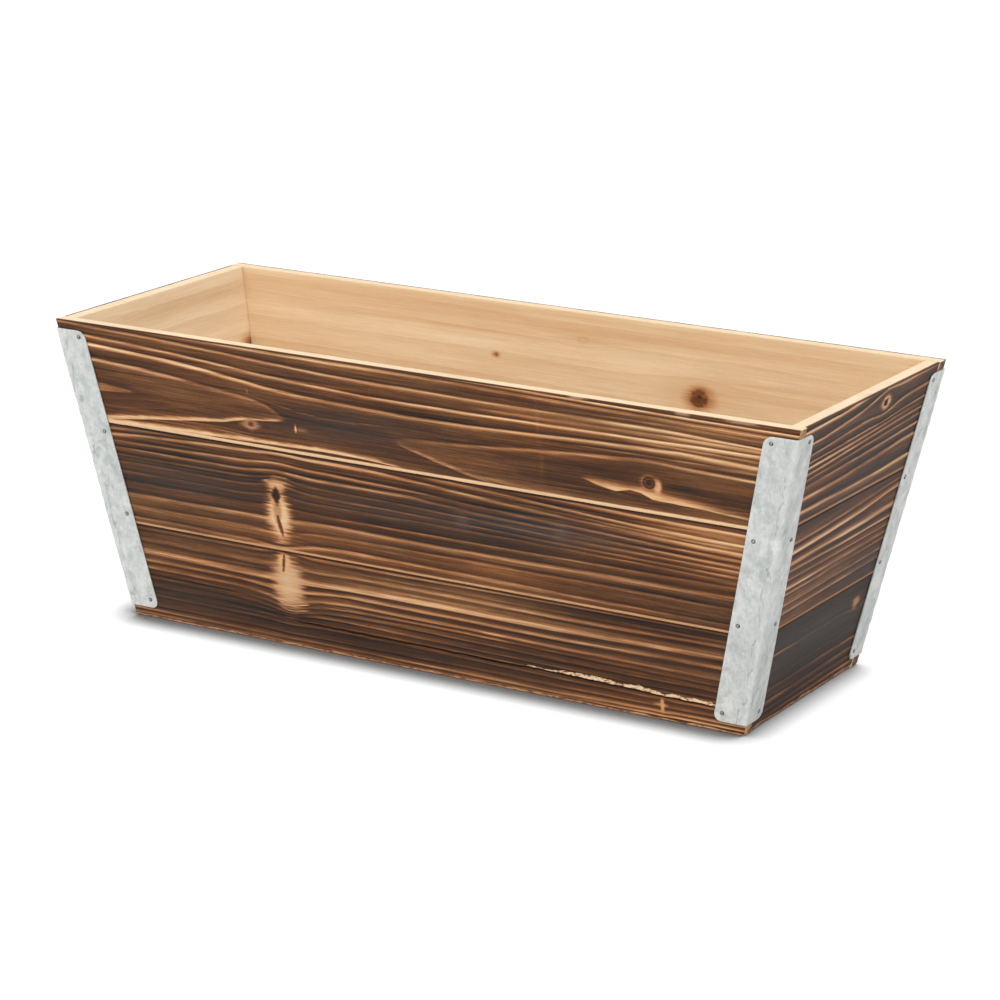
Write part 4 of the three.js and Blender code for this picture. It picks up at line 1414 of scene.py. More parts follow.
@dataclass(frozen=True)
class EndGrain:
    """Sawn end grain: arcs of growth rings, scorched in clouds and at its pores."""

    pale: tuple[float, ...] = linear(206, 160, 112)
    ring: tuple[float, ...] = linear(142, 92, 56)
    scorched: tuple[float, ...] = linear(58, 42, 34)
    board_height: float = 0.0635
    ring_gap: float = 0.0016

    def build(self) -> bpy.types.Material:
        """Builds the material.

        Returns:
            The material.
        """
        s = Shader("pine_end_grain")
        place = s.place()
        x, y, z = s.separate(place)
        local = s.math("SUBTRACT", s.math("MODULO", z, self.board_height), 0.02)
        bent = s.combine(s.math("MULTIPLY", s.math("ADD", s.math("ABSOLUTE", y), 0.03), 0.5), local, 0.0)
        wave = s.noise(place, 180, 2)
        rings = s.math("DIVIDE", s.length(bent), self.ring_gap)
        rings = s.math("ADD", rings, s.math("MULTIPLY", wave, 0.9))
        part = s.math("FRACT", rings)
        tone = s.ramp(part, ((0.0, (0.0,)), (0.6, (0.3,)), (0.92, (1.0,)), (1.0, (0.1,))))
        colour = s.mix(tone, self.pale, self.ring)
        cloud = s.noise(place, 70, 3, 0.6)
        colour = s.mix(s.remap(cloud, 0.42, 0.62), colour, self.scorched)
        pores = s.noise(place, 2600, 2, 0.7)
        colour = s.mix(s.remap(pores, 0.52, 0.75, 0, 0.6), colour, self.scorched)
        s.cover({"Base Color": colour, "Roughness": 0.8})
        s.bump(s.math("SUBTRACT", pores, s.math("MULTIPLY", tone, 0.3)), 0.00025)
        return s.material


@dataclass(frozen=True)
class Galvanised:
    """Hot-dipped sheet: dull zinc, soft clouds, faint crystals; painted highlight and shade at the bend."""

    zinc: tuple[float, ...] = linear(204, 206, 203)
    shade: tuple[float, ...] = linear(172, 177, 175)
    # Pale zinc of the crystals and scratches, also the painted highlight along the bend.
    bloom_and_bend_highlight: tuple[float, ...] = linear(230, 231, 228)
    # Dark grey of the painted shade in the crumples beside the bend.
    crease: tuple[float, ...] = linear(128, 133, 134)
    roughness: float = 0.44

    def build(self) -> bpy.types.Material:
        """Builds the material.

        Returns:
            The material.
        """
        s = Shader("galvanised_sheet")
        place = s.place()
        pulled = s.vector("MULTIPLY", place, (1.0, 1.0, 0.7))
        cloud = s.noise(pulled, 120, 4, 0.62, 0.8)
        broad = s.noise(place, 28, 3, 0.5, 0.4)
        aside = s.combine(s.math("MULTIPLY", cloud, 0.004), 0.0, s.math("MULTIPLY", broad, 0.006))
        bent = s.vector("ADD", pulled, aside)
        coarse = s.math("MULTIPLY", s.spangle(bent, 190), 0.6)
        crystal = s.math("ADD", coarse, s.math("MULTIPLY", s.spangle(bent, 420), 0.4))
        fine = s.noise(place, 520, 3, 0.6, 0.6)
        colour = s.mix(s.remap(cloud, 0.36, 0.62), self.shade, self.zinc)
        colour = s.mix(s.remap(crystal, 0.3, 0.9, 0, 0.42), colour, self.bloom_and_bend_highlight)
        colour = s.mix(s.remap(broad, 0.45, 0.65, 0, 0.3), colour, self.shade)
        colour = s.mix(s.remap(fine, 0.5, 0.7, 0, 0.5), colour, self.shade)
        scratch = s.noise(s.vector("MULTIPLY", bent, (1.0, 1.0, 0.3)), 900, 3, 0.7, 0.5)
        colour = s.mix(s.remap(scratch, 0.54, 0.7, 0, 0.45), colour, self.bloom_and_bend_highlight)
        # Painted highlight: the sheet lightens within a few millimetres of the bend.
        from_bend = s.attribute("from_bend")
        colour = s.mix(s.remap(from_bend, 3.6, 1.0, 0, 0.2), colour, self.bloom_and_bend_highlight)
        # Painted shade: broken dark lines wander beside the bend where the sheet crumples.
        wander = s.noise(s.vector("MULTIPLY", place, (1.0, 1.0, 0.4)), 160, 2)
        aside = s.math("ABSOLUTE", s.math("SUBTRACT", from_bend, s.remap(wander, 0.35, 0.65, 0.8, 5.4)))
        broken = s.remap(s.noise(place, 90, 3, 0.6), 0.47, 0.56, 0.0, 0.6)
        crumple_shade = s.math("MULTIPLY", s.remap(aside, 0.1, 0.5, 1.0, 0.0), broken)
        colour = s.mix(crumple_shade, colour, self.crease)
        rough = s.remap(cloud, 0.3, 0.7, self.roughness + 0.08, self.roughness - 0.06)
        s.cover({"Base Color": colour, "Roughness": rough, "Metallic": 0.55})
        s.bump(s.math("ADD", s.math("MULTIPLY", broad, 3.0), s.math("MULTIPLY", cloud, 0.4)), 0.0004, 0.5)
        return s.material


@dataclass(frozen=True)
class NailSteel:
    """Bright small nails, or blackened brads, with a scuffed top."""

    name: str = "nail_steel"
    tint: tuple[float, ...] = linear(96, 98, 98)
    worn: tuple[float, ...] = linear(176, 178, 176)
    roughness: float = 0.36

    def build(self) -> bpy.types.Material:
        """Builds the material.

        Returns:
            The material.
        """
        s = Shader(self.name)
        place = s.place()
        scuff = s.noise(place, 1400, 3, 0.6)
        colour = s.mix(s.remap(scuff, 0.4, 0.65), self.tint, self.worn)
        rough = s.remap(scuff, 0.3, 0.7, self.roughness - 0.08, self.roughness + 0.14)
        s.cover({"Base Color": colour, "Roughness": rough, "Metallic": 0.9})
        s.bump(scuff, 0.00006, 0.6)
        return s.material


# ---------------------------------------------------------------- walls

@dataclass(frozen=True)
class Wall:
    """Where one wall stands: its side of the box and how its ends follow the height."""

    name: str
    foot_half: float
    slope: float
    run_foot: float
    run_slope: float
    along_x: bool
    side: int

    def points(self, along: Array, up: Array, deep: Array) -> Array:
        """Turns wall places into points of the box, in metres.

        Args:
            along: places along the grain.
            up: distances up the wall.
            deep: depths into the wood.

        Returns:
            One point per row.
        """
        lean = math.atan(self.slope)
        out = (self.foot_half + up * math.sin(lean) - deep * math.cos(lean)) * self.side
        level = self.height(up, deep)
        return np.stack((along, out, level) if self.along_x else (out, along, level), axis=-1) * MM

    def height(self, up: Array, deep: Array) -> Array:
        """The level of a wall place."""
        lean = math.atan(self.slope)
        return up * math.cos(lean) + deep * math.sin(lean)


@dataclass
class WallBoard:
    """One board of a wall, as a dense closed solid that carries its own grain."""

    box: BoxSizes
    wall: Wall
    index: int
    outside: FaceGrain
    inside: FaceGrain
    row_gap: float = 0.5
    column_gap: float = 2.2
    fine_gap: float = 0.7
    inner_row_gap: float = 1.6
    arris: float = 0.6
    foot_arris: float = 1.1
    end_arris: float = 0.35
    busy: tuple[tuple[float, float], ...] = ()

    def section(self) -> Section:
        """The board's end-on outline, with its tongue, groove and worn arrises.

        Returns:
            The outline.
        """
        box, lean = self.box, math.atan(self.wall.slope)
        deep, drop = box.board, self.wall.slope
        foot, rim = self.index == 0, self.index == len(box.joints)
        low = 0.0 if foot else box.joints[self.index - 1] / math.cos(lean)
        high = (box.height if rim else box.joints[self.index]) / math.cos(lean)
        top, bottom = self.arris, self.foot_arris
        low_out = low + bottom
        section = Section()
        rows = max(8, round((high - top - low_out) / self.row_gap))
        section.straight((low_out, 0), (high - top, 0), rows, Zone.OUTSIDE)
        if rim:
            section.turn((high - top, 0), (high, 0), (high - top * drop, top), 5, Zone.UPPER_EDGE)
            inner = (high - (deep - 0.5) * drop, deep - 0.5)
            section.straight((high - top * drop, top), inner, 14, Zone.UPPER_EDGE)
            section.turn(inner, (high - deep * drop, deep), (high - deep * drop - 0.5, deep), 4, Zone.INSIDE)
            top_inside = high - deep * drop - 0.5
        else:
            half, tall, middle = box.tongue_width / 2, box.tongue_height, deep / 2
            section.turn((high - top, 0), (high, 0), (high, top), 4, Zone.UPPER_EDGE)
            section.run((
                (high, top), (high, middle - half), (high + tall, middle - half),
                (high + tall, middle + half), (high, middle + half), (high, deep - 0.4),
            ), (2, 1, 1, 1, 2), Zone.UPPER_EDGE)
            section.turn((high, deep - 0.4), (high, deep), (high - 0.4, deep), 3, Zone.INSIDE)
            top_inside = high - 0.4
        low_inside = (low - deep * drop if foot else low) + 0.4
        rows = max(4, round((top_inside - low_inside) / self.inner_row_gap))
        section.straight((top_inside, deep), (low_inside, deep), rows, Zone.INSIDE)
        if foot:
            inner = (-(deep - 0.4) * drop, deep - 0.4)
            section.turn((low_inside, deep), (low_inside - 0.4, deep), inner, 3, Zone.INSIDE)
            section.straight(inner, (-bottom * drop, bottom), 6, Zone.LOWER_EDGE)
            section.turn((-bottom * drop, bottom), (0, 0), (bottom, 0), 6, Zone.LOWER_EDGE)
        else:
            half, middle = box.tongue_width / 2 + box.tongue_side_gap, deep / 2
            roof = low + box.tongue_height + box.tongue_end_gap
            section.turn((low_inside, deep), (low, deep), (low, deep - 0.4), 3, Zone.INSIDE)
            section.run((
                (low, deep - 0.4), (low, middle + half), (roof, middle + half), (roof, middle - half),
                (low, middle - half), (low, bottom),
            ), (2, 1, 1, 1, 2), Zone.LOWER_EDGE)
            section.turn((low, bottom), (low, 0), (low_out, 0), 6, Zone.LOWER_EDGE)
        return section

    def level_range(self) -> tuple[float, float]:
        """The lowest and highest level of the outer face."""
        joints = (0.0, *self.box.joints, self.box.height)
        return joints[self.index], joints[self.index + 1]

    def build(self, name: str, wood: bpy.types.Material, end: bpy.types.Material) -> bpy.types.Object:
        """Makes the board.

        Args:
            name: the piece's name.
            wood: the finish of its faces.
            end: the finish of its two ends.

        Returns:
            The board's object.
        """
        up, deep, out_up, out_deep, zones = np.array(self.section().outline).T
        reach = self.wall.run_foot + self.wall.run_slope * self.wall.height(up.mean(), deep.mean())
        share = spaced_columns(reach, self.column_gap, self.fine_gap, self.busy)
        trim = self.end_arris / reach
        share = np.concatenate([[-1, -1 + trim], share[(np.abs(share) < 1 - 2 * trim)], [1 - trim, 1]])
        values: dict[str, Array] = {}

        def place(column: Array, row: Array) -> Array:
            """Gives each point its place and notes what the finish needs.

            Args:
                column: column numbers.
                row: row numbers.

            Returns:
                The points, in metres.
            """
            u, d = up[row], deep[row]
            level = self.wall.height(u, d)
            along = share[column] * (self.wall.run_foot + self.wall.run_slope * level)
            surface = self.surface_at(along, level, d, zones[row])
            inset = np.where((column == 0) | (column == len(share) - 1), self.end_arris, 0.0)
            sink = surface.sink + inset
            u, d = u - out_up[row] * sink, d - out_deep[row] * sink
            level = self.wall.height(u, d)
            along = share[column] * (self.wall.run_foot + self.wall.run_slope * level)
            values.update(surface.finish_values())
            across = np.cumsum(np.hypot(np.diff(up, prepend=up[0]), np.diff(deep, prepend=deep[0])))[row]
            offset = np.full_like(along, self.outside.seed * 7.3)
            values["grain"] = np.stack([along, across, offset], axis=-1)
            return self.wall.points(along, u, d)

        return close_tube(open_tube(name, len(share), len(up), place), values, wood, end)

    def surface_at(self, along: Array, level: Array, deep: Array, zone: Array) -> Surface:
        """Joins the outer face, the inner face and the edges into one surface.

        Args:
            along: places along the board.
            level: heights.
            deep: depths into the wood.
            zone: the side of each point.

        Returns:
            The surface at each point.
        """
        outer = PaintedFace.read(self.outside, along, level)
        inner = PaintedFace.read(self.inside, along, level)
        is_inside = zone == Zone.INSIDE.value
        is_upper = zone == Zone.UPPER_EDGE.value
        is_lower = zone == Zone.LOWER_EDGE.value
        low, high = self.level_range()
        rim, foot = self.index == len(self.box.joints), self.index == 0
        nibble = layered_noise(along / 9, deep / 3 + 7, self.outside.seed + 61)
        fine = layered_noise(along / 2.2, level / 0.8, self.outside.seed + 62)

        # Painted shade under the joint darkens the top of every board but the rim.
        head = self.outside.joint_shade
        outer.char += 0.24 * smooth_step(high - head - 0.3, high - head * 0.4, level) * (not rim)
        if self.outside.bare_foot:
            rough = 1.0 if foot else 0.12
            tall = self.outside.bare_foot * (1 + rough * 0.9 * (nibble - 0.5)) + (fine - 0.5) * 0.5 * rough
            bare = smooth_step(0.4, -0.4, level - low - tall)
            spare = self.outside.bare_foot_char + 0.3 * rough * smooth_step(0.4, 0.8, fine)
            outer.char += (spare - outer.char) * bare
            outer.line *= 1 - bare
            outer.sink += bare * (0.15 * fine * rough + (0.35 * nibble if foot else 0.0))
            under = (0.12 if foot else 0.65) * smooth_step(0.4, 1.6, deep)
            outer.char = np.where(is_lower, spare + under, outer.char)
            outer.line = np.where(is_lower, 0.03, outer.line)
        if rim:
            worn = np.zeros_like(along)
            for middle, half in self.outside.worn_rim:
                ragged = (fine - 0.5) * 0.9 + (nibble - 0.5) * 0.8
                worn = np.maximum(worn, smooth_step(1.1, 0.5, np.abs(along - middle) / half + ragged))
            crust = smooth_step(high - 1.7, high - 0.7, level) * (1 - is_upper)
            outer.char += crust * (-0.1 - 0.3 * worn)
            outer.tint -= 0.3 * worn * smooth_step(high - 2.0, high - 1.0, level + fine)
            outer.line *= 1 - crust
            reach = self.outside.rim_reach + 0.45 * nibble
            bite = smooth_step(reach - 0.25, reach + 0.3, deep)
            rim_char = (0.74 - 0.36 * worn) * (1 - bite) + (0.055 + 0.05 * (nibble - 0.5)) * bite
            outer.char = np.where(is_upper, rim_char, outer.char)
            outer.line = np.where(is_upper, -0.03, outer.line)
            outer.tint = np.where(is_upper, outer.tint * (1 - bite), outer.tint)
            outer.sink = np.where(is_upper, 0.12 * nibble * (1 - bite) + 0.03 * fine, outer.sink)
        else:
            hidden = smooth_step(0.2, 1.2, deep)
            outer.char = np.where(is_upper, 0.95 - 0.6 * hidden, outer.char)
            outer.sink = np.where(is_upper, outer.sink * (1 - hidden), outer.sink)
        outer.sink = np.where(is_lower, outer.sink * smooth_step(2.2, 0.3, deep), outer.sink)
        inner.sink = inner.sink * 0.35
        return Surface(*(np.where(is_inside, a, b) for a, b in (
            (inner.ring, outer.ring), (inner.char, outer.char), (inner.line, outer.line),
            (inner.tint, outer.tint), (inner.sink, outer.sink))))


@dataclass
class BaseBoard:
    """One of the two raw boards that carry the soil."""

    box: BoxSizes
    side: int
    grain: FaceGrain
    arris: float = 0.5
    rows: int = 60
    columns: int = 220

    def build(self, name: str, wood: bpy.types.Material, end: bpy.types.Material) -> bpy.types.Object:
        """Makes the board.

        Args:
            name: the piece's name.
            wood: the finish of its faces.
            end: the finish of its two ends.

        Returns:
            The board's object.
        """
        box = self.box
        low, high = box.base_underside, box.base_underside + box.base_board
        near, round_ = box.drain_gap / 2, self.arris
        wide_low = box.inside_half_width(low) - box.base_side_gap
        wide_high = box.inside_half_width(high) - box.base_side_gap
        section = Section()
        section.straight((near + round_, high), (wide_high - round_, high), self.rows, Zone.INSIDE)
        section.turn((wide_high - round_, high), (wide_high, high), (wide_high, high - round_), 3,
                     Zone.INSIDE)
        section.straight((wide_high, high - round_), (wide_low, low + round_), 4, Zone.INSIDE)
        section.turn((wide_low, low + round_), (wide_low, low), (wide_low - round_, low), 3, Zone.INSIDE)
        section.straight((wide_low - round_, low), (near + round_, low), self.rows, Zone.INSIDE)
        section.turn((near + round_, low), (near, low), (near, low + round_), 3, Zone.INSIDE)
        section.straight((near, low + round_), (near, high - round_), 4, Zone.INSIDE)
        section.turn((near, high - round_), (near, high), (near + round_, high), 3, Zone.INSIDE)
        out, level = np.array(section.outline).T[:2]
        share = np.linspace(-1, 1, self.columns)
        values: dict[str, Array] = {}

        def place(column: Array, row: Array) -> Array:
            """Gives each point its place and notes what the finish needs.

            Args:
                column: column numbers.
                row: row numbers.

            Returns:
                The points, in metres.
            """
            y, z = out[row], level[row]
            along = share[column] * (box.inside_half_length(z) - box.base_end_gap)
            surface = PaintedFace.read(self.grain, along, y)
            flat = smooth_step(near + round_, near + 2, y) * smooth_step(wide_low - 0.5, wide_low - 2, y)
            z = z - np.sign(z - (low + high) / 2) * surface.sink * 0.4 * flat
            values.update(surface.finish_values())
            values["grain"] = np.stack([along, y + z * 0.5, np.full_like(y, self.grain.seed)], axis=-1)
            return np.stack([along, y * self.side, z], axis=-1) * MM

        return close_tube(open_tube(name, self.columns, len(out), place), values, wood, end)


# ---------------------------------------------------------------- corner strips and nails

@dataclass
class CornerStrip:
    """A bent galvanised strip over one corner, a little wavy, drawn in at its nails."""

    box: BoxSizes
    side_x: int
    side_y: int
    seed: float
    wave: float = 0.22
    dimple: float = 0.18
    dimple_reach: float = 4.0
    crumple: float = 0.34
    height_steps: int = 150
    edge_bevel: float = 0.16

    def across_places(self) -> Array:
        """Places across the strip, from the long leg's free edge round to the end leg's.

        Returns:
            Places, in millimetres.
        """
        box = self.box
        edge = box.strip_corner * (1 - np.cos(np.linspace(0, math.pi / 2, 8)))
        long_free = -box.long_leg + edge
        end_free = box.end_leg - edge[::-1]
        middle_long = np.linspace(long_free[-1], -box.bend, 9)[1:-1]
        middle_end = np.linspace(box.bend, end_free[0], 8)[1:-1]
        bend = np.linspace(-box.bend, box.bend, 9)
        return np.concatenate([long_free, middle_long, bend, middle_end, end_free])

    def build(self, name: str, finish: bpy.types.Material) -> bpy.types.Object:
        """Makes the strip.

        Args:
            name: the piece's name.
            finish: its material.

        Returns:
            The strip's object.
        """
        box = self.box
        across = self.across_places()
        bm = bmesh.new()
        bmesh.ops.create_grid(bm, x_segments=len(across) - 1, y_segments=self.height_steps, size=0.5)
        for vert in bm.verts:
            s = float(across[round((vert.co.x + 0.5) * (len(across) - 1))])
            share = vert.co.y + 0.5
            vert.co = self.point(s, share)
        bmesh.ops.recalc_face_normals(bm, faces=bm.faces[:])
        if sum((f.normal.x * self.side_x + f.normal.y * self.side_y) for f in bm.faces) < 0:
            bmesh.ops.reverse_faces(bm, faces=bm.faces[:])
        bmesh.ops.solidify(bm, geom=bm.verts[:] + bm.edges[:] + bm.faces[:], thickness=box.strip * 0.98 * MM)
        bmesh.ops.recalc_face_normals(bm, faces=bm.faces[:])
        sharp = [e for e in bm.edges if len(e.link_faces) == 2 and e.calc_face_angle(0.0) > math.radians(55)]
        bmesh.ops.bevel(bm, geom=sharp, offset=self.edge_bevel * MM, offset_type="OFFSET", segments=2,
                        profile=0.5, affect="EDGES", material=-1, clamp_overlap=True)
        soften(bm)
        mesh = mesh_of(bm, name)
        mesh.materials.append(finish)
        set_values(mesh, "from_bend", self.from_bend(mesh))
        return show(mesh, name)

    def from_bend(self, mesh: bpy.types.Mesh) -> Array:
        """How far each point is from the bend, in millimetres.

        Args:
            mesh: the strip's mesh.

        Returns:
            One distance per point.
        """
        spots = np.empty(len(mesh.vertices) * 3, dtype=np.float32)
        mesh.vertices.foreach_get("co", spots)
        x, y, z = np.abs(spots.reshape(-1, 3).T) / MM
        return np.maximum(self.box.half_length(z) - x, self.box.half_width(z) - y)

    def point(self, s: float, share: float) -> Vector:
        """A point of the strip's outer face, in metres.

        Args:
            s: place across, negative on the long leg.
            share: 0 at the foot, 1 at the top.

        Returns:
            The point.
        """
        box = self.box
        from_edge = min(s + box.long_leg, box.end_leg - s)
        cut = 0.0
        if from_edge < box.strip_corner:
            round_ = box.strip_corner
            cut = round_ - math.sqrt(max(0.0, round_ ** 2 - (round_ - from_edge) ** 2))
        low, high = box.strip_above_foot + cut, box.strip_top - cut
        z = low + (high - low) * share
        front = box.strip * math.hypot(1, box.long_slope) + self.lift(s, z)
        end = box.strip * math.hypot(1, box.end_slope) + self.lift(s, z)
        radius = box.bend
        if abs(s) <= radius:
            angle = (s + radius) / (2 * radius) * math.pi / 2
            x = end - radius + radius * math.sin(angle)
            y = front - radius + radius * math.cos(angle)
        elif s < 0:
            y = front
            x = -box.long_leg + (s + box.long_leg) / (box.long_leg - radius) * (end - radius + box.long_leg)
        else:
            x = end
            y = -box.end_leg + (box.end_leg - s) / (box.end_leg - radius) * (front - radius + box.end_leg)
        out_x = box.half_length(z) + x
        out_y = box.half_width(z) + y
        return Vector((out_x * self.side_x, out_y * self.side_y, z)) * MM

    def lift(self, s: float, z: float) -> float:
        """How far the sheet stands off the wood here, in millimetres.

        Args:
            s: place across the strip, negative on the long leg.
            z: height.

        Returns:
            The distance.
        """
        box = self.box
        wave = value_noise(np.array([z / 38]), np.array([s / 14 + 5]), self.seed)[0] * self.wave
        nail_s = -box.long_leg + box.nail_from_edge if s < 0 else box.end_leg - box.nail_from_edge
        for nail_z in box.nail_heights:
            away = math.hypot(s - nail_s, z - nail_z) / self.dimple_reach
            near = math.exp(-away * away)
            wave = wave * (1 - near) - self.dimple * near * 0.5
        wave = wave * (1 - 0.5 * math.exp(-((z - box.strip_top) / 8) ** 2))
        at_bend = math.exp(-(max(0.0, abs(s) - box.bend) / 1.6) ** 2)
        if at_bend > 0.02:
            crease = value_noise(np.array([z / 3.5]), np.array([s / 2.6 + 9]), self.seed + 3)[0] - 0.5
            wave += self.crumple * crease * at_bend
        return wave


class Leg(Enum):
    """The two legs of a strip."""

    LONG = "long"
    END = "end"


@dataclass
class Nail:
    """A round-headed nail with a dark ring under its head, painted shade where the head meets the strip."""

    # The next two size the dark ring under the head, painted shade where the head meets the strip.
    shade_ring: float = 2.6
    shade_ring_rise: float = 0.05
    head: float = 1.95
    rise: float = 0.7
    shank: float = 1.3
    length: float = 7.6
    point: float = 1.8
    steps: int = 28

    def profile(self) -> list[Point]:
        """The nail's outline as (radius, place) with the head below zero.

        Returns:
            The outline, from the top of the head to the tip.
        """
        radius = self.head / 2
        arc = [(radius * math.sin(t), -0.18 - (self.rise - 0.18) * math.cos(t)) for t in
               np.linspace(0, math.pi / 2, 9)]
        arc[0] = (0.0, -self.rise * 0.96)
        return arc + [(radius, -self.shade_ring_rise), (self.shade_ring / 2, -self.shade_ring_rise), (self.shade_ring / 2, 0.15),
                      (self.shank / 2, 0.15),
                      (self.shank / 2, self.length - self.point), (0.0, self.length)]

    def build(self, name: str, at: Vector, into: Vector, finish: bpy.types.Material,
              shade_ring_finish: bpy.types.Material) -> bpy.types.Object:
        """Makes one nail.

        Args:
            name: the piece's name.
            at: where the head sits, in millimetres.
            into: the way that the nail points.
            finish: its material.
            shade_ring_finish: the dark ring's material, painted shade round the head.

        Returns:
            The nail's object.
        """
        bm = bmesh.new()
        outline = self.profile()
        verts = [bm.verts.new((r * MM, 0, z * MM)) for r, z in outline]
        edges = [bm.edges.new(pair) for pair in zip(verts, verts[1:])]
        bmesh.ops.spin(bm, geom=verts + edges, cent=(0, 0, 0), axis=(0, 0, 1), dvec=(0, 0, 0),
                       angle=2 * math.pi, steps=self.steps, use_merge=True)
        bmesh.ops.remove_doubles(bm, verts=bm.verts[:], dist=1e-6)
        bmesh.ops.recalc_face_normals(bm, faces=bm.faces[:])
        for face in bm.faces:
            place = face.calc_center_median()
            # Faces outside the head make the dark ring, painted shade round the head.
            if math.hypot(place.x, place.y) > self.head / 2 * MM:
                face.material_index = 1
        turn = Vector((0, 0, 1)).rotation_difference(into).to_matrix().to_4x4()
        bmesh.ops.transform(bm, matrix=Matrix.Translation(at * MM) @ turn, verts=bm.verts[:])
        soften(bm, 50)
        mesh = mesh_of(bm, name)
        mesh.materials.append(finish)
        mesh.materials.append(shade_ring_finish)
        return show(mesh, name)


# ---------------------------------------------------------------- the whole box

@dataclass
class Finishes:
    """The planter's materials."""

    wood: bpy.types.Material
    end_grain: bpy.types.Material
    sheet: bpy.types.Material
    nail: bpy.types.Material
    brad_and_nail_shade: bpy.types.Material

    @classmethod
    def build(cls) -> Finishes:
        """Builds every material once.

        Returns:
            The materials.
        """
        # Dark steel for the brads, also the painted shade ring round each nail head.
        brad_and_nail_shade = NailSteel("brad_steel", linear(72, 66, 62), linear(120, 112, 104), 0.5)
        rest = (finish.build() for finish in (TorchedPine(), EndGrain(), Galvanised(), NailSteel(), brad_and_nail_shade))
        return cls(*rest)


@dataclass
class Planter:
    """The planter's walls, base and ironwork."""

    box: BoxSizes
    finishes: Finishes

    def walls(self) -> list[Wall]:
        """The four walls.

        Returns:
            The walls.
        """
        box = self.box
        inside = box.inside_half_width(0.0)
        return [
            Wall("front", box.foot_width / 2, box.long_slope, box.foot_length / 2, box.end_slope, True, -1),
            Wall("back", box.foot_width / 2, box.long_slope, box.foot_length / 2, box.end_slope, True, 1),
            Wall("right_end", box.foot_length / 2, box.end_slope, inside, box.long_slope, False, 1),
            Wall("left_end", box.foot_length / 2, box.end_slope, inside, box.long_slope, False, -1),
        ]

    def build_walls(self) -> None:
        """Makes the twelve wall boards."""
        levels = (0.0, *self.box.joints, self.box.height)
        for order, wall in enumerate(self.walls()):
            reach = 255 if wall.along_x else 100
            for index in range(3):
                low, high = levels[index], levels[index + 1]
                seed = 40 + order * 10 + index
                faces = SEEN_FACES.get(wall.name)
                face = faces[index] if faces else wild_face(
                    seed, low, high, reach, char=0.74, line_strength=0.42, bare_foot=1.3, bare_foot_char=0.25,
                    rim_reach=1.5)
                inner = inside_face(seed + 200, low, high, reach)
                if wall.name == "back" and index == 2:
                    inner = INSIDE_TOP_BACK
                if wall.name == "left_end":
                    burn = Scorch((83, 139), (9, 5), 0.5)
                    inner = replace(inner, char=0.05, scorches=(*inner.scorches, burn))
                board = WallBoard(self.box, wall, index, face, inner)
                if wall.name == "front":
                    board.row_gap, board.column_gap, board.busy = 0.36, 1.6, BUSY_STRETCHES[index]
                if index == 2 and wall.name in ("back", "left_end"):
                    board.inner_row_gap = 0.6
                node = f"{wall.name}_board_{index + 1}"
                piece = board.build(f"charred_{node}", self.finishes.wood, self.finishes.end_grain)
                seat(piece, node)

    def build_base(self) -> None:
        """Makes the two base boards."""
        for side, name in ((-1, "front"), (1, "back")):
            grain = inside_face(300 + side, 0, 80, 230, char=0.15)
            piece = BaseBoard(self.box, side, grain).build(
                f"pine_base_{name}", self.finishes.wood, self.finishes.end_grain)
            seat(piece, f"base_board_{name}")

    def build_corners(self) -> None:
        """Makes the four corner strips and their thirty-two nails."""
        corners = {"front_right": (1, -1), "front_left": (-1, -1), "back_left": (-1, 1), "back_right": (1, 1)}
        for order, (name, (side_x, side_y)) in enumerate(corners.items()):
            strip = CornerStrip(self.box, side_x, side_y, 3.1 + order)
            piece = strip.build(f"galvanised_strip_{name}", self.finishes.sheet)
            seat(piece, f"corner_strip_{name}")
            for leg in Leg:
                for number, z in enumerate(self.box.nail_heights, 1):
                    at, into = self.nail_seat(leg, z, side_x, side_y)
                    node = f"nail_{name}_{leg.value}_{number}"
                    # The second material paints shade round each head as a dark ring.
                    nail = Nail().build(f"round_{node}", at, into, self.finishes.nail, self.finishes.brad_and_nail_shade)
                    seat(nail, node)

    def nail_seat(self, leg: Leg, z: float, side_x: int, side_y: int) -> tuple[Vector, Vector]:
        """Where a nail's head sits on the strip and the way that it points.

        Args:
            leg: the strip's leg.
            z: the nail's height.
            side_x: the corner's side along the length.
            side_y: the corner's side across.

        Returns:
            The seat, in millimetres, and the direction.
        """
        box = self.box
        if leg is Leg.LONG:
            lean = math.atan(box.long_slope)
            in_ = box.long_leg - box.nail_from_edge
            at = Vector((side_x * (box.half_length(z) - in_), side_y * box.half_width(z), z))
            into = Vector((0, -side_y * math.cos(lean), math.sin(lean)))
        else:
            lean = math.atan(box.end_slope)
            in_ = box.end_leg - box.nail_from_edge
            at = Vector((side_x * box.half_length(z), side_y * (box.half_width(z) - in_), z))
            into = Vector((-side_x * math.cos(lean), 0, math.sin(lean)))
        return at - into * box.strip, into

    def finish_brads(self, nodes: dict[str, bpy.types.Object]) -> None:
        """Gives the carried-over brads their steel.

        Args:
            nodes: the carried-over CAD nodes by name.
        """
        for name, node in nodes.items():
            if name.startswith("base_brad"):
                node.data.materials.clear()
                node.data.materials.append(self.finishes.brad_and_nail_shade)
                LOG.info("%s keeps its CAD shape", name)


# ---------------------------------------------------------------- studio

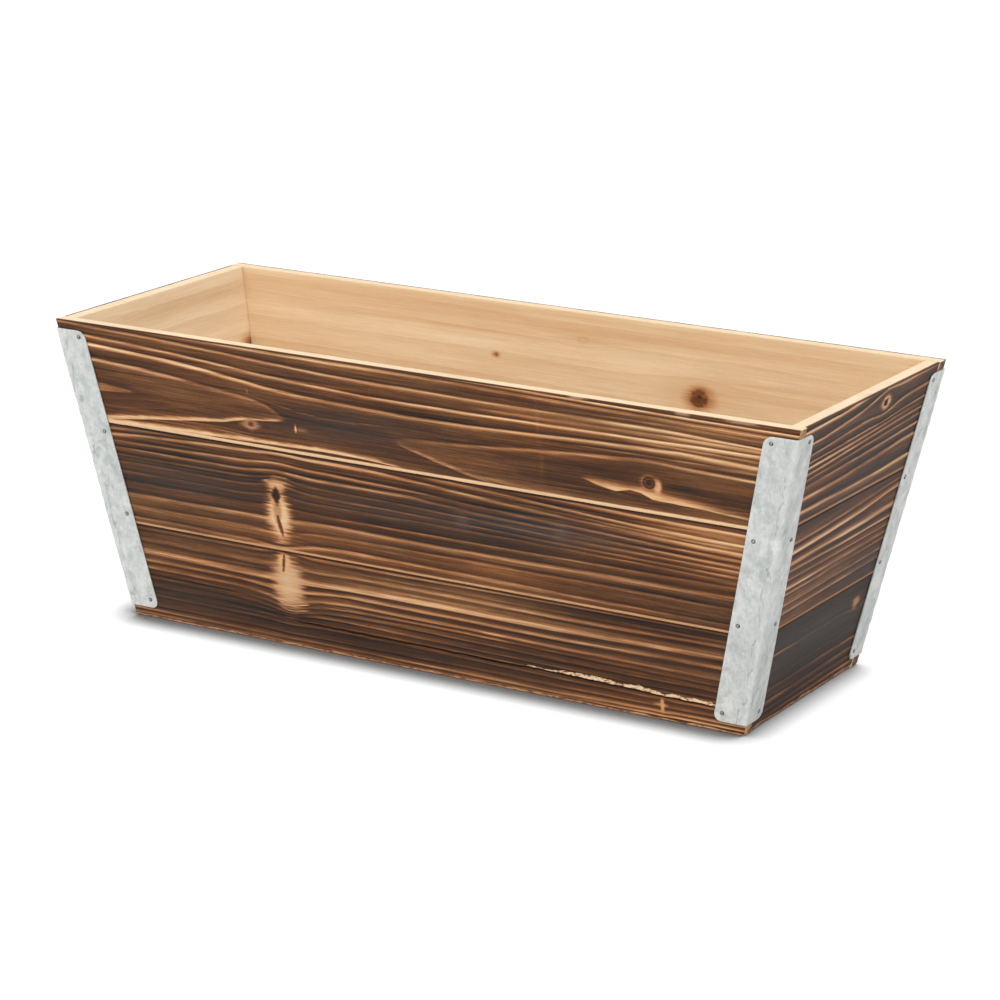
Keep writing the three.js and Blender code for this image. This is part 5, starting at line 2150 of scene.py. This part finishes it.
@dataclass(frozen=True)
class Studio:
    """The camera, the soft lamps and the pale floor."""

    camera_at: tuple[float, float, float] = (1005.9, -1687.3, 649.8)
    view: tuple[float, float, float] = (-0.4899, 0.8272, -0.2751)
    roll: float = math.radians(0.416)
    focal_share: float = 3.3973
    sensor: float = 36.0
    floor_size: float = 40.0
    shade_side: tuple[float, float, float] = (0.14, 0.34, 0.93)
    shade_reach: float = 0.026
    shade_from: tuple[float, float] = (0.41, 0.87)
    shade_to: tuple[float, float] = (0.03, 0.95)
    lit_grey: tuple[float, float, float] = (0.86, 0.86, 0.86)
    seen_grey: tuple[float, float, float] = (0.12, 0.12, 0.12)
    sky: float = 0.62
    key_from: tuple[float, float, float] = (0.28, -0.42, 0.86)
    key_strength: float = 1.75
    key_softness: float = 40
    fill_from: tuple[float, float, float] = (-0.25, -0.92, 0.22)
    fill_strength: float = 0.85
    fill_softness: float = 60

    def build(self) -> None:
        """Sets up everything around the box."""
        self.build_camera()
        self.build_sky()
        self.build_floor()
        self.build_lamp("key_light", self.key_from, self.key_strength, self.key_softness)
        self.build_lamp("fill_light", self.fill_from, self.fill_strength, self.fill_softness)
        bpy.context.scene.view_settings.view_transform = "Standard"

    def build_camera(self) -> None:
        """Puts the camera where the photograph was taken from."""
        data = bpy.data.cameras.new("camera")
        data.sensor_width = self.sensor
        data.lens = self.focal_share * self.sensor
        data.clip_end = 60
        camera = bpy.data.objects.new("camera", data)
        forward = Vector(self.view).normalized()
        right = forward.cross(Vector((0, 0, 1))).normalized()
        up = right.cross(forward)
        tilted_right = right * math.cos(self.roll) + up * math.sin(self.roll)
        tilted_up = up * math.cos(self.roll) - right * math.sin(self.roll)
        axes = Matrix((tilted_right, tilted_up, -forward)).transposed().to_4x4()
        camera.matrix_world = Matrix.Translation(Vector(self.camera_at) * MM) @ axes
        bpy.context.scene.collection.objects.link(camera)
        bpy.context.scene.camera = camera

    def build_sky(self) -> None:
        """Lights all round softly and shows white to the camera and in the metal."""
        world = bpy.data.worlds.new("studio")
        world.use_nodes = True
        s = Nodes(world.node_tree)
        light = s.tree.nodes["Background"]
        s.link((1, 1, 1), light.inputs["Color"])
        path = s.add("LightPath", {}).outputs
        seen = s.math("MAXIMUM", path["Is Camera Ray"], path["Is Glossy Ray"])
        seen = s.math("MAXIMUM", seen, path["Is Transmission Ray"])
        s.link(s.remap(seen, 0, 1, self.sky, 1.0), light.inputs["Strength"])
        bpy.context.scene.world = world

    def build_floor(self) -> None:
        """Lays a white floor that glows for the camera, dimmed near the box into a painted soft shadow."""
        bm = bmesh.new()
        bmesh.ops.create_grid(bm, x_segments=1, y_segments=1, size=self.floor_size / 2)
        mesh = mesh_of(bm, "floor")
        s = Shader("white_floor")
        # Painted shadow: ambient occlusion, leaned to shade_side, dims the glow near the box.
        shade_side = s.combine(*self.shade_side)
        nearby = s.add("AmbientOcclusion", {"Distance": self.shade_reach, "Normal": shade_side}, samples=12)
        open_sky = s.remap(nearby.outputs["AO"], *self.shade_from, *self.shade_to)
        glow = s.math("MAXIMUM", open_sky, s.remap(s.length(s.place()), 0.5, 1.0))
        seen = s.add("LightPath", {}).outputs["Is Camera Ray"]
        s.cover({
            # The lamps' real shadow shows only faintly on the grey that the camera sees.
            "Base Color": s.mix(seen, self.lit_grey, self.seen_grey),
            "Roughness": 0.9,
            "Specular IOR Level": 0.1,
            "Emission Color": (1, 1, 1),
            "Emission Strength": s.math("MULTIPLY", seen, glow),
        })
        self.clear_from_below(s)
        mesh.materials.append(s.material)
        show(mesh, "floor")

    @staticmethod
    def clear_from_below(s: Shader) -> None:
        """Lets the floor be looked through from under it, so that the box's underside can be seen.

        Args:
            s: the floor's material.
        """
        side, clear = s.add("NewGeometry", {}), s.add("BsdfTransparent", {})
        from_below = side.outputs["Backfacing"]
        both = s.add("MixShader", {0: from_below, 1: s.surface.outputs[0], 2: clear.outputs[0]})
        s.link(both.outputs[0], s.output.inputs["Surface"])

    def build_lamp(self, name: str, towards: tuple[float, float, float], strength: float,
                   softness: float) -> None:
        """Adds one far, soft lamp.

        Args:
            name: the lamp's name.
            towards: the way from the box to the lamp.
            strength: its strength.
            softness: the angle that it covers in the sky, in degrees.
        """
        data = bpy.data.lights.new(name, "SUN")
        data.energy = strength
        data.angle = math.radians(softness)
        lamp = bpy.data.objects.new(name, data)
        lamp.rotation_euler = Vector(towards).to_track_quat("Z", "Y").to_euler()
        bpy.context.scene.collection.objects.link(lamp)


def main() -> None:
    """Builds the planter around its frame."""
    logging.basicConfig(level=logging.INFO, format="%(name)s: %(message)s")
    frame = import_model()
    Studio().build()
    planter = Planter(BoxSizes(), Finishes.build())
    planter.build_walls()
    planter.build_base()
    planter.build_corners()
    planter.finish_brads(frame["nodes"])


if __name__ == "__main__":
    main()
